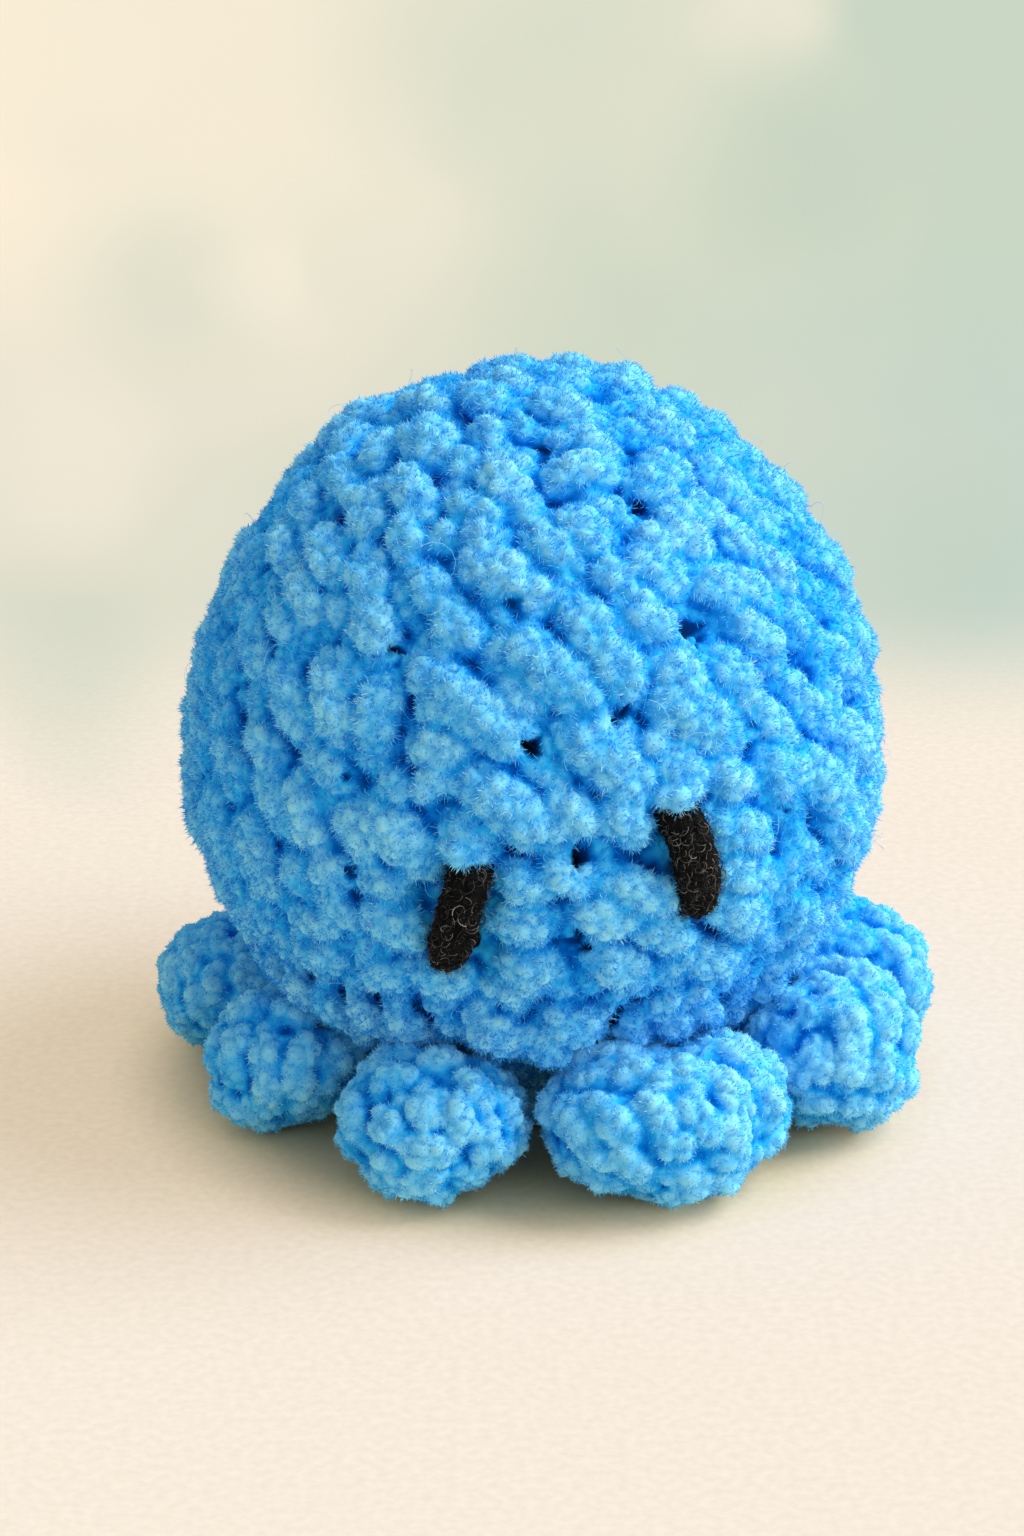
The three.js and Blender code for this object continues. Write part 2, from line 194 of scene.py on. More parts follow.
def noise(points, size, seed):
    """Smooth noise from -1 to 1."""
    scaled = points / size
    home = np.floor(scaled).astype(np.int64)
    part = scaled - home
    part = part * part * (3 - 2 * part)
    total = np.zeros(len(points))
    for corner in np.ndindex(2, 2, 2):
        share = np.prod(np.where(corner, part, 1 - part), axis=1)
        total += share * hashed(home + np.array(corner), seed)[:, 0]
    return total * 2 - 1


# Meshes


def mesh_object(name, points, faces, uvs=None):
    """A mesh from points in millimetres and a list of arrays of faces, each array of one face size."""
    mesh = bpy.data.meshes.new(name)
    loops = np.concatenate([f.ravel() for f in faces]).astype(np.int32)
    sizes = np.concatenate([np.full(len(f), f.shape[1]) for f in faces]).astype(np.int32)
    mesh.vertices.add(len(points))
    mesh.vertices.foreach_set("co", (points * MM).astype(np.float32).ravel())
    mesh.loops.add(len(loops))
    mesh.loops.foreach_set("vertex_index", loops)
    mesh.polygons.add(len(sizes))
    mesh.polygons.foreach_set("loop_start", np.concatenate([[0], np.cumsum(sizes)[:-1]]).astype(np.int32))
    mesh.polygons.foreach_set("loop_total", sizes)
    if uvs is not None:
        layer = mesh.uv_layers.new(name="OFBake")
        layer.data.foreach_set("uv", uvs[loops].astype(np.float32).ravel())
    mesh.update(calc_edges=True)
    obj = bpy.data.objects.new(name, mesh)
    bpy.context.scene.collection.objects.link(obj)
    return obj


def values_of(items, name, width, kind=np.float32):
    """One value of each item of a mesh, as the rows of an array."""
    found = np.zeros(len(items) * width, kind)
    items.foreach_get(name, found)
    return found.reshape(-1, width)


def points_of(mesh):
    return values_of(mesh.vertices, "co", 3).astype(float) / MM


def normals_of(mesh):
    return values_of(mesh.vertex_normals, "vector", 3).astype(float)


def edges_of(mesh):
    return values_of(mesh.edges, "vertices", 2, np.int32)


def triangles_of(mesh):
    mesh.calc_loop_triangles()
    return values_of(mesh.loop_triangles, "vertices", 3, np.int32)


def solid_of(node):
    """The points and the triangles of a solid."""
    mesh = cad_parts[node].data
    return points_of(mesh), triangles_of(mesh)


def set_points(mesh, points):
    mesh.vertices.foreach_set("co", (points * MM).astype(np.float32).ravel())
    mesh.update()


def shade_smooth(mesh):
    mesh.polygons.foreach_set("use_smooth", np.ones(len(mesh.polygons), bool))


# The head's outline

HEAD_MIDDLE = np.array([0, 0, WIDEST])
HALVES = ((CROWN - WIDEST, 1), (WIDEST - LOWEST_CURVE, -1))  # height and direction of its two halves


def on_head(points):
    """The points moved out or in onto the head's outline, with its normals there."""
    rise = np.where(points[:, 2] > WIDEST, HALVES[0][0], HALVES[1][0])
    radii = np.stack([np.full(len(points), HEAD_RADIUS)] * 2 + [rise], -1)
    scaled = (points - HEAD_MIDDLE) / radii
    size = np.linalg.norm(scaled, axis=1, keepdims=True)
    return HEAD_MIDDLE + (points - HEAD_MIDDLE) / size, unit(scaled / size / radii)


def over_head(points):
    """How far points lie outside the head's outline."""
    on, normal = on_head(points)
    return ((points - on) * normal).sum(1)


def head_place(bearing, latitude):
    """A point on the head at a bearing and a latitude, both in degrees, with 90 at the crown."""
    b, t = np.radians(bearing), np.radians(latitude)
    rise = np.where(t > 0, HALVES[0][0], HALVES[1][0])
    flat = HEAD_RADIUS * np.cos(t)
    return np.stack([flat * np.sin(b), -flat * np.cos(b), WIDEST + rise * np.sin(t)], -1)


# Camera

BACK = np.array([0, -math.cos(CAMERA_ELEVATION), math.sin(CAMERA_ELEVATION)])
UP = np.array([0, math.sin(CAMERA_ELEVATION), math.cos(CAMERA_ELEVATION)])
RIGHT = np.array([1.0, 0, 0])
EYE = CAMERA_TARGET + BACK * CAMERA_DISTANCE
MISSED, TRIES = 0.02, 20  # how far a ray that misses the head is turned to its middle, and how often at most
FACING = 0.1  # least that a surface faces the camera where the photograph's details reach it


def pixel_ray(x, y):
    return -BACK + RIGHT * (x - PHOTO_WIDTH / 2) / FOCAL_PIXELS - UP * (y - PHOTO_HEIGHT / 2) / FOCAL_PIXELS


def on_face(x, y):
    """The place on the head that shows at a pixel of the photograph. A pixel just outside the head is taken
    in towards its middle."""
    ray = pixel_ray(x, y)
    for _ in range(TRIES):
        for rise, side in HALVES:
            squash = np.array([HEAD_RADIUS, HEAD_RADIUS, rise])
            start, way = (EYE - HEAD_MIDDLE) / squash, ray / squash
            a, b, c = way @ way, start @ way, start @ start - 1
            inside = b * b - a * c
            if inside < 0:
                continue
            hit = EYE + ray * (-b - math.sqrt(inside)) / a
            if (hit[2] - WIDEST) * side >= 0:
                return hit
        ray = ray + MISSED * ((HEAD_MIDDLE - EYE) / CAMERA_DISTANCE - ray)
    raise ValueError(f"pixel {x}, {y} isn't near the head")


def in_photo(points):
    """Pixels of the photograph at which points show."""
    seen = points - EYE
    depth = -(seen @ BACK)
    x = PHOTO_WIDTH / 2 + FOCAL_PIXELS * (seen @ RIGHT) / depth
    y = PHOTO_HEIGHT / 2 - FOCAL_PIXELS * (seen @ UP) / depth
    return np.stack([x, y], -1)


def make_camera():
    data = bpy.data.cameras.new("camera")
    data.sensor_width = SENSOR
    data.lens = FOCAL_PIXELS * SENSOR / PHOTO_HEIGHT
    data.clip_start, data.clip_end = CLIP
    camera = bpy.data.objects.new("camera", data)
    bpy.context.scene.collection.objects.link(camera)
    camera.location = EYE * MM
    camera.rotation_euler = (math.pi / 2 - CAMERA_ELEVATION, 0, 0)
    bpy.context.scene.camera = camera


# Strands

STRAND_STEPS = 9
STRAND_SIDES = 10
STRAND_SQUEEZE = 0.9  # height of a strand's section over its width
CAP_TURNS = (math.radians(65), math.radians(35))  # angles at which a strand's round end has rings
CAP_RINGS = np.array([(math.cos(turn), math.sin(turn)) for turn in CAP_TURNS])
NECK = 0.82  # share of its radius that a strand has at its ends


class Strands:
    """Round-ended strands and solids gathered as one set of points and faces, with the strands' middles and
    tones for later."""

    def __init__(self):
        self.points = []
        self.quads = []
        self.triangles = []
        self.count = 0
        self.middles = []
        self.tones = []

    def add(self, line, radii, normals, tone):
        tangent = unit(np.gradient(line, axis=0))
        side = unit(np.cross(tangent, normals))
        frames = np.stack([line, side, np.cross(side, tangent)], 1)
        caps = []
        for end, way, rings in ((0, -tangent[0], CAP_RINGS), (-1, tangent[-1], CAP_RINGS[::-1])):
            cap = np.repeat(frames[end][None], len(rings), 0)
            cap[:, 0] += way * radii[end] * rings[:, 1:]
            caps.append((cap, radii[end] * rings[:, 0], line[end] + way * radii[end]))
        (first, first_radii, start), (last, last_radii, end) = caps
        rings, across, ups = np.concatenate([first, frames, last]).transpose(1, 0, 2)
        sizes = np.concatenate([first_radii, radii, last_radii])
        angle = np.arange(STRAND_SIDES) / STRAND_SIDES * 2 * np.pi
        ring = across[:, None] * np.cos(angle)[None, :, None]
        ring = ring + ups[:, None] * np.sin(angle)[None, :, None] * STRAND_SQUEEZE
        body = (rings[:, None] + ring * sizes[:, None, None]).reshape(-1, 3)
        here = self.count + np.arange(STRAND_SIDES)
        there = self.count + (np.arange(STRAND_SIDES) + 1) % STRAND_SIDES
        for k in range(0, len(body) - STRAND_SIDES, STRAND_SIDES):
            self.quads.append(np.stack([here, there, there + STRAND_SIDES, here + STRAND_SIDES], -1) + k)
        top = len(body) - STRAND_SIDES
        pole = np.full(STRAND_SIDES, self.count + len(body))
        self.triangles.append(np.stack([there, here, pole], -1))
        self.triangles.append(np.stack([here + top, there + top, pole + 1], -1))
        self.points.append(np.vstack([body, start, end]))
        self.count += len(body) + 2
        self.middles.append(line)
        self.tones.append(np.full(len(line), tone))

    def add_solid(self, points, triangles):
        self.points.append(points)
        self.triangles.append(triangles + self.count)
        self.count += len(points)

    def mesh(self, name):
        faces = [np.vstack(found) for found in (self.quads, self.triangles) if found]
        return mesh_object(name, np.vstack(self.points), faces)


def lay(strands, surface, start, end, radius, proud, tuck, bow, tone, neck=NECK):
    """Lays a strand on a surface from start to end. Its top stands proud of the surface at its middle, and
    its ends go under by tuck. It bows sideways by bow."""
    t = np.linspace(0, 1, STRAND_STEPS)[:, None]
    along = start + (end - start) * t
    on, normal = surface(along)
    side = unit(np.cross(normal, end - start))
    on, normal = surface(on + side * bow * 4 * t * (1 - t))
    under = np.abs(2 * t - 1) ** 3
    line = on + normal * (proud - radius * STRAND_SQUEEZE - tuck * under)
    radii = radius * (1 - (1 - neck) * under[:, 0])
    strands.add(line, radii, normal, tone)


def joined(strands, name, voxel):
    """The strands and solids as one closed surface."""
    piece = strands.mesh(name)
    bpy.context.view_layer.objects.active = piece
    piece.data.remesh_voxel_size = voxel * MM
    piece.data.remesh_voxel_adaptivity = 0
    piece.data.use_remesh_preserve_volume = False
    piece.select_set(True)
    bpy.ops.object.voxel_remesh()
    piece.select_set(False)
    return piece


def smoothed(points, edges, rounds, share=0.5):
    """The points moved by a share of the way to the middle of their neighbours, so many times."""
    near = np.bincount(edges.ravel(), minlength=len(points))[:, None]
    for _ in range(rounds):
        total = np.zeros_like(points)
        for axis in range(3):
            total[:, axis] = np.bincount(edges[:, 0], points[edges[:, 1], axis], len(points))
            total[:, axis] += np.bincount(edges[:, 1], points[edges[:, 0], axis], len(points))
        points = points + share * (total / near - points)
    return points


def tones_at(strands, points):
    """The tone of the strand nearest to each point."""
    middles, tones = np.vstack(strands.middles), np.concatenate(strands.tones)
    tree = KDTree(len(middles))
    for index, middle in enumerate(middles):
        tree.insert(middle, index)
    tree.balance()
    return np.array([tones[tree.find(p)[1]] for p in points])


def domed(near, next_near):
    """How high a tuft stands, from 0 in the crease round it to 1 in its middle."""
    edge = np.clip((next_near - near) / TUFT_BORDER, 0, 1)
    return np.clip(1 - near * near, 0, 1) * (TUFT_RIM + TUFT_DOME * edge * (2 - edge))


def shaken(points, seed, far=SHAKEN, size=SHAKEN_SIZE):
    """Points moved a little by noise, for uneven borders."""
    return points + far * np.stack([noise(points, size, seed + k) for k in range(3)], -1)


def tufted(obj, strands, height, seed, tuft_height=TUFT_HEIGHT, gaps=None, soften=3, pressed=0.0):
    """Gives a joined surface its tufts of pile. Height gives how far points lie over the solid's surface,
    gaps how far they lie in a gap between strands, from 0 to 1, and pressed how far they are pressed in at
    the table. It stores the attributes from which the yarn's painted light and shade are drawn. Returns how
    much of the pile each point gets, which is little in the creases between strands, and how bright the
    fibres are painted there: lighter high up and on the tufts, as painted light, and darker in the creases,
    as painted shade."""
    mesh = obj.data
    edges = edges_of(mesh)
    points = smoothed(points_of(mesh), edges, soften)
    gap = np.zeros(len(points)) if gaps is None else gaps(points)
    points = points - normals_of(mesh) * (GAP_DEPTH * gap)[:, None]
    set_points(mesh, points)
    normals = normals_of(mesh)
    hollow = ((smoothed(points, edges, HOLLOW_ROUNDS) - points) * normals).sum(1)
    crease = np.clip(hollow / HOLLOW_DEPTH, 0, 1)
    over = height(points)
    open_share = np.clip((over + BARE_UNDER) / BARE_SPAN, 0, 1)
    lift = np.clip((over + DARK_UNDER) / DARK_SPAN, 0, 1)
    tuft = domed(*cells(shaken(points, seed), TUFT, seed)[:2])
    fine = domed(*cells(points, FINE_TUFT, seed + 5)[:2])
    rise = (tuft - TUFT_LEVEL) * tuft_height + (fine - TUFT_LEVEL) * FINE_TUFT_HEIGHT
    rise -= pressed * np.clip(1 - points[:, 2] / PRESSED_UNDER, 0, 1)
    rise = rise * (DEEP_TUFTS + OPEN_TUFTS * open_share) * (1 - CREASE_TUFTS * crease)
    points = smoothed(points + normals * rise[:, None], edges, 1, TUFT_SMOOTHING)
    points[:, 2] = np.maximum(points[:, 2], LOWEST_YARN)
    set_points(mesh, points)
    # The yarn's painted light and shade: lift, crease and gap darken it low down, in creases and in gaps,
    # tuft lightens the tufts' tops, and tone is each strand's own tone
    shown = {
        "lift": lift,
        "crease": crease,
        "gap": np.clip(GAP_SHARP * gap - GAP_SHOWN, 0, 1),
        "tuft": np.clip(tuft, 0, 1),
        "tone": tones_at(strands, points),
    }
    for name, values in shown.items():
        mesh.attributes.new(name, "FLOAT", "POINT").data.foreach_set("value", values.astype(np.float32))
    shade_smooth(mesh)
    # How bright the fibres are painted: painted light high up and on the tufts, painted shade in the creases
    bright = BRIGHT_LIFT * lift + BRIGHT_TUFT * tuft - BRIGHT_CREASE * crease
    return open_share * (1 - CREASE_BARE * crease) * (gap < GAP_BARE), np.clip(bright, 0, 1)


def scattered(mesh, share, density, rng, bright):
    """Places strewn over a mesh, so many per square millimetre times share, with their normals and how
    bright the yarn is painted there, in painted light and shade."""
    corners = triangles_of(mesh)
    points, normals = points_of(mesh), normals_of(mesh)
    a, b, c = (points[corners[:, k]] for k in range(3))
    area = np.linalg.norm(np.cross(b - a, c - a), axis=1) / 2
    wanted = np.cumsum(area * share[corners].mean(1))
    count = int(wanted[-1] * density)
    picked = np.searchsorted(wanted, rng.random(count) * wanted[-1])
    u, v = rng.random(count), rng.random(count)
    over = u + v > 1
    u[over], v[over] = 1 - u[over], 1 - v[over]
    weights = np.stack([1 - u - v, u, v], -1)[:, :, None]
    place = (points[corners[picked]] * weights).sum(1)
    normal = unit((normals[corners[picked]] * weights).sum(1))
    return place, normal, (bright[corners[picked]] * weights[:, :, 0]).sum(1)


def shade_of(bright, rng):
    """Which of the shades each fibre gets: partly as bright as the painted light and shade of the yarn under
    it, partly by chance.
    """
    level = (1 - SHADE_CHANCE) * bright + SHADE_CHANCE * rng.random(len(bright))
    return np.clip(np.floor(level * SHADES), 0, SHADES - 1)


def curls_on(obj, name, share, density, seed, width, radius, turn, lift):
    """Loose curly hairs that lie on a surface, as one object of narrow ribbons. Radius, turn and lift are
    ranges: of the curl, of the angle that it goes round and of its height over the surface."""
    rng = np.random.default_rng(seed)
    root, normal, bright = scattered(obj.data, share, density, rng, np.full(len(share), 0.5))
    count = len(root)
    along = unit(np.cross(normal, rng.normal(size=(count, 3))))
    across = np.cross(normal, along)
    size = rng.uniform(*radius, count)[:, None, None]
    angle = np.linspace(0, 1, CURL_STEPS)[None, :] * rng.uniform(*turn, count)[:, None]
    arch = np.sin(np.linspace(*CURL_ARCH, CURL_STEPS) * math.pi)
    rise = arch[None, :] * rng.uniform(*lift, count)[:, None]
    curl = np.sin(angle)[..., None] * along[:, None] + (1 - np.cos(angle))[..., None] * across[:, None]
    line = root[:, None] + size * curl + rise[..., None] * normal[:, None]
    way = unit(np.gradient(line, axis=1))
    side = unit(np.cross(way, normal[:, None])) * width / 2
    points = np.stack([line - side, line + side], 2)
    points[..., 2] = np.maximum(points[..., 2], LOWEST_YARN / 2)
    first = (np.arange(count) * CURL_STEPS * 2)[:, None] + np.arange(CURL_STEPS - 1)[None, :] * 2
    faces = first.reshape(-1, 1) + np.array([[0, 1, 3, 2]])
    u = (shade_of(bright, rng) + 0.5) / SHADES
    sides = np.array([SHADE_EDGE - 0.5, 0.5 - SHADE_EDGE]) / SHADES
    u = u[:, None, None] + sides + np.zeros((1, CURL_STEPS, 1))
    v = np.broadcast_to(np.linspace(CURL_ROOT, 1, CURL_STEPS)[None, :, None], u.shape)
    return mesh_object(name, points.reshape(-1, 3), [faces], np.stack([u, v], -1).reshape(-1, 2))


def pile_on(
    obj, name, share, density, seed, bright=None, width=FIBRE_WIDTH, length=FIBRE_LENGTH, wild=FIBRE_WILD
):
    """Loose fibres on a surface, as one or more objects of flat blades, which lie outwards from the middles
    of the tufts. Share says how much of the density each of its points gets, and bright how bright the yarn
    is painted there, in painted light and shade."""
    rng = np.random.default_rng(seed)
    bright = np.full(len(share), 0.5) if bright is None else bright
    root, normal, bright = scattered(obj.data, share, density, rng, bright)
    count = len(root)
    spread = cells(shaken(root, seed), TUFT, seed)[2]
    chance = wild * rng.normal(size=(count, 3)) / 3 ** 0.5
    way = unit(FIBRE_STAND * normal + FIBRE_SPREAD * spread + chance)
    inwards = (way * normal).sum(1) < FIBRE_OUT
    way[inwards] = unit(way[inwards] + normal[inwards] * FIBRE_TURNED)
    bend = normal - way * (way * normal).sum(1)[:, None]
    bend = unit(bend + FIBRE_SIDEWAYS * rng.normal(size=(count, 3)))
    size = rng.uniform(*length, count)[:, None]
    size = size * (1 - SIDE_SHORTER * np.clip(1 + 2 * normal[:, 1:2], 0, 1))
    half = width / 2 * rng.uniform(*FIBRE_WIDTHS, count)[:, None]
    half = unit(np.cross(bend, way)) * half
    bend = bend * (size * rng.uniform(*FIBRE_CURL, count)[:, None])
    root = root - normal * FIBRE_SUNK
    middle = root + way * size * FIBRE_MIDDLE + bend * MIDDLE_BEND
    tip = root + way * size * FIBRE_END + bend
    slim = half * MIDDLE_WIDTH
    blades = np.stack([root - half, root + half, middle + slim, middle - slim, tip], 1)
    blades[:, :, 2] = np.maximum(blades[:, :, 2], LOWEST_YARN / 2)
    shade = shade_of(bright, rng)
    left, right = (shade + SHADE_EDGE) / SHADES, (shade + 1 - SHADE_EDGE) / SHADES
    u = np.stack([left, right, right, left, (left + right) / 2], 1)
    v = np.broadcast_to([0, 0, MIDDLE_SHADE, MIDDLE_SHADE, 1], u.shape)
    uv = np.stack([u, v], -1)
    made = []
    groups = max(1, math.ceil(count / FIBRES_PER_PIECE))
    order = np.arange(count)
    if groups > 1:
        order = np.argsort(np.arctan2(root[:, 0], -root[:, 1]), kind="stable")
    for part, members in enumerate(np.array_split(order, groups)):
        first = np.arange(len(members))[:, None] * blades.shape[1]
        label = name if groups == 1 else f"{name}_{part + 1}"
        faces = [first + np.array([[0, 1, 2, 3]]), first + np.array([[3, 2, 4]])]
        made.append(mesh_object(label, blades[members].reshape(-1, 3), faces, uv[members].reshape(-1, 2)))
    return made


# Materials


def paint(red, green, blue):
    """A colour of 0 to 255 as the eye sees it, as the linear colour that a shader takes."""
    parts = [v / 255 for v in (red, green, blue)]
    return tuple(v / 12.92 if v < 0.04045 else ((v + 0.055) / 1.055) ** 2.4 for v in parts) + (1,)


class Nodes:
    def __init__(self, name):
        self.material = bpy.data.materials.new(name)
        self.material.use_nodes = True
        self.tree = self.material.node_tree
        self.shader = self.tree.nodes["Principled BSDF"]

    def put(self, socket, value):
        """Links an output to a socket, or sets the socket to a value."""
        if hasattr(value, "is_output"):
            self.tree.links.new(value, socket)
        else:
            socket.default_value = value

    def new(self, kind, **inputs):
        node = self.tree.nodes.new(kind)
        for key, value in inputs.items():
            if key in node.inputs:
                self.put(node.inputs[key], value)
            else:
                setattr(node, key, value)
        return node

    def math(self, operation, *values):
        node = self.new("ShaderNodeMath", operation=operation)
        for socket, value in zip(node.inputs, values):
            self.put(socket, value)
        return node.outputs[0]

    def distance(self, a, b):
        return self.math("SQRT", self.math("MULTIPLY_ADD", a, a, self.math("MULTIPLY", b, b)))

    def grain(self, scale, detail):
        place = self.new("ShaderNodeTexCoord").outputs["Object"]
        return self.new("ShaderNodeTexNoise", Vector=place, Scale=scale, Detail=detail).outputs[0]

    def bump(self, height, strength, distance):
        return self.new("ShaderNodeBump", Height=height, Strength=strength, Distance=distance).outputs[0]

    def ramp(self, value, stops):
        node = self.tree.nodes.new("ShaderNodeValToRGB")
        self.tree.links.new(value, node.inputs[0])
        elements = node.color_ramp.elements
        while len(elements) < len(stops):
            elements.new(0.5)
        for element, (place, colour) in zip(elements, stops):
            element.position = place
            element.color = colour
        return node.outputs[0]

    def mix(self, share, a, b, kind="MIX"):
        node = self.tree.nodes.new("ShaderNodeMix")
        node.data_type = "RGBA"
        node.blend_type = kind
        for socket, value in zip((node.inputs[0], node.inputs[6], node.inputs[7]), (share, a, b)):
            self.put(socket, value)
        return node.outputs[2]

    def span(self, value, low, high):
        """From 0 at low to 1 at high, with soft ends."""
        node = self.new("ShaderNodeMapRange", interpolation_type="SMOOTHSTEP", Value=value)
        node.inputs["From Min"].default_value = low
        node.inputs["From Max"].default_value = high
        return node.outputs[0]

    def attribute(self, name):
        return self.new("ShaderNodeAttribute", attribute_name=name).outputs["Fac"]

    def looks(self, inputs):
        """The material, with its shader's inputs linked or set."""
        for name, value in inputs.items():
            self.put(self.shader.inputs[name], value)
        return self.material


YARN_LEVEL = 0.14  # how light the yarn is at the least, before its attributes add to that
# How much each attribute makes the yarn lighter: lift and crease paint shade low down and in creases, tuft
# paints light on the tufts' tops, and tone is each strand's own tone
YARN_SHARES = {"lift": 0.32, "crease": -0.6, "tuft": 0.3, "tone": 0.14}
YARN_GRAIN = 0.24
YARN_STOPS = [
    (0.0, paint(0, 70, 150)),
    (0.3, paint(2, 128, 224)),
    (0.62, paint(44, 188, 255)),
    (1.0, paint(150, 230, 255)),
]
# Near-black painted shade in the deep gaps between strands
GAP_SHADE_COLOUR = paint(8, 14, 24)


def yarn_material():
    """The ground of the chenille: saturated and darker in its creases and low places, as painted shade, and
    paler on the tufts, as painted light. Its gaps take a near-black painted shade.
    """
    made = Nodes("blue_chenille")
    grain = made.grain(1400.0, 3.0)
    level = YARN_LEVEL
    for name, share in YARN_SHARES.items():
        level = made.math("MULTIPLY_ADD", made.attribute(name), share, level)
    level = made.math("MULTIPLY_ADD", grain, YARN_GRAIN, level)
    return made.looks({
        "Base Color": made.mix(made.attribute("gap"), made.ramp(level, YARN_STOPS), GAP_SHADE_COLOUR),
        "Normal": made.bump(grain, 0.5, 0.0003),
        "Roughness": 0.92,
        "Specular IOR Level": 0.0,
        "Sheen Weight": 0.1,
        "Sheen Roughness": 0.4,
        "Sheen Tint": paint(150, 215, 255),
    })


def fibre_material(name, stops):
    """Loose fibres: the map runs across the set of shades and up each fibre from root to tip."""
    made = Nodes(name)
    place = made.new("ShaderNodeUVMap", uv_map="OFBake").outputs[0]
    parts = made.new("ShaderNodeSeparateXYZ", Vector=place)
    # Each fibre is painted darker at its root, as shade in the pile, and paler at its tip, as painted light
    paler = made.math("MULTIPLY_ADD", parts.outputs[1], FIBRE_TIP, FIBRE_ROOT)
    colour = made.ramp(made.math("MULTIPLY", parts.outputs[0], paler), stops)
    return made.looks({"Base Color": colour, "Roughness": 0.85, "Specular IOR Level": 0.0})


def grained_material(name, scale, dark, pale, strength, distance, **shine):
    """A fibrous material whose colour and surface follow one grain."""
    made = Nodes(name)
    grain = made.grain(scale, 4.0)
    colour = made.ramp(grain, [(0.3, dark), (0.7, pale)])
    return made.looks({"Base Color": colour, "Normal": made.bump(grain, strength, distance), **shine})


def dress(obj, material):
    obj.data.materials.clear()
    obj.data.materials.append(material)


# The head's yarn

rng = np.random.default_rng(11)
OUTLINE_STEPS = 400
OUTLINE_ANGLES = np.linspace(90, -90, OUTLINE_STEPS)
OUTLINE = head_place(np.zeros(OUTLINE_STEPS), OUTLINE_ANGLES)
OUTLINE_LENGTHS = np.concatenate([[0], np.cumsum(np.linalg.norm(np.diff(OUTLINE, axis=0), axis=1))])


def down_head(bearing, distance, carried):
    """A place on the head at a distance from the crown along its outline, carried round from a bearing."""
    angle = np.interp(distance, OUTLINE_LENGTHS, OUTLINE_ANGLES)
    radius = HEAD_RADIUS * math.cos(math.radians(angle))
    return head_place(bearing + math.degrees(carried / max(radius, STITCH_WIDTH)), angle)


def round_of(middle, stitch_width):
    """How many stitches a round has, and the height at which it lies."""
    place = down_head(0, middle, 0)
    return max(FEWEST_STITCHES, round(2 * math.pi * abs(place[1]) / stitch_width)), place[2]


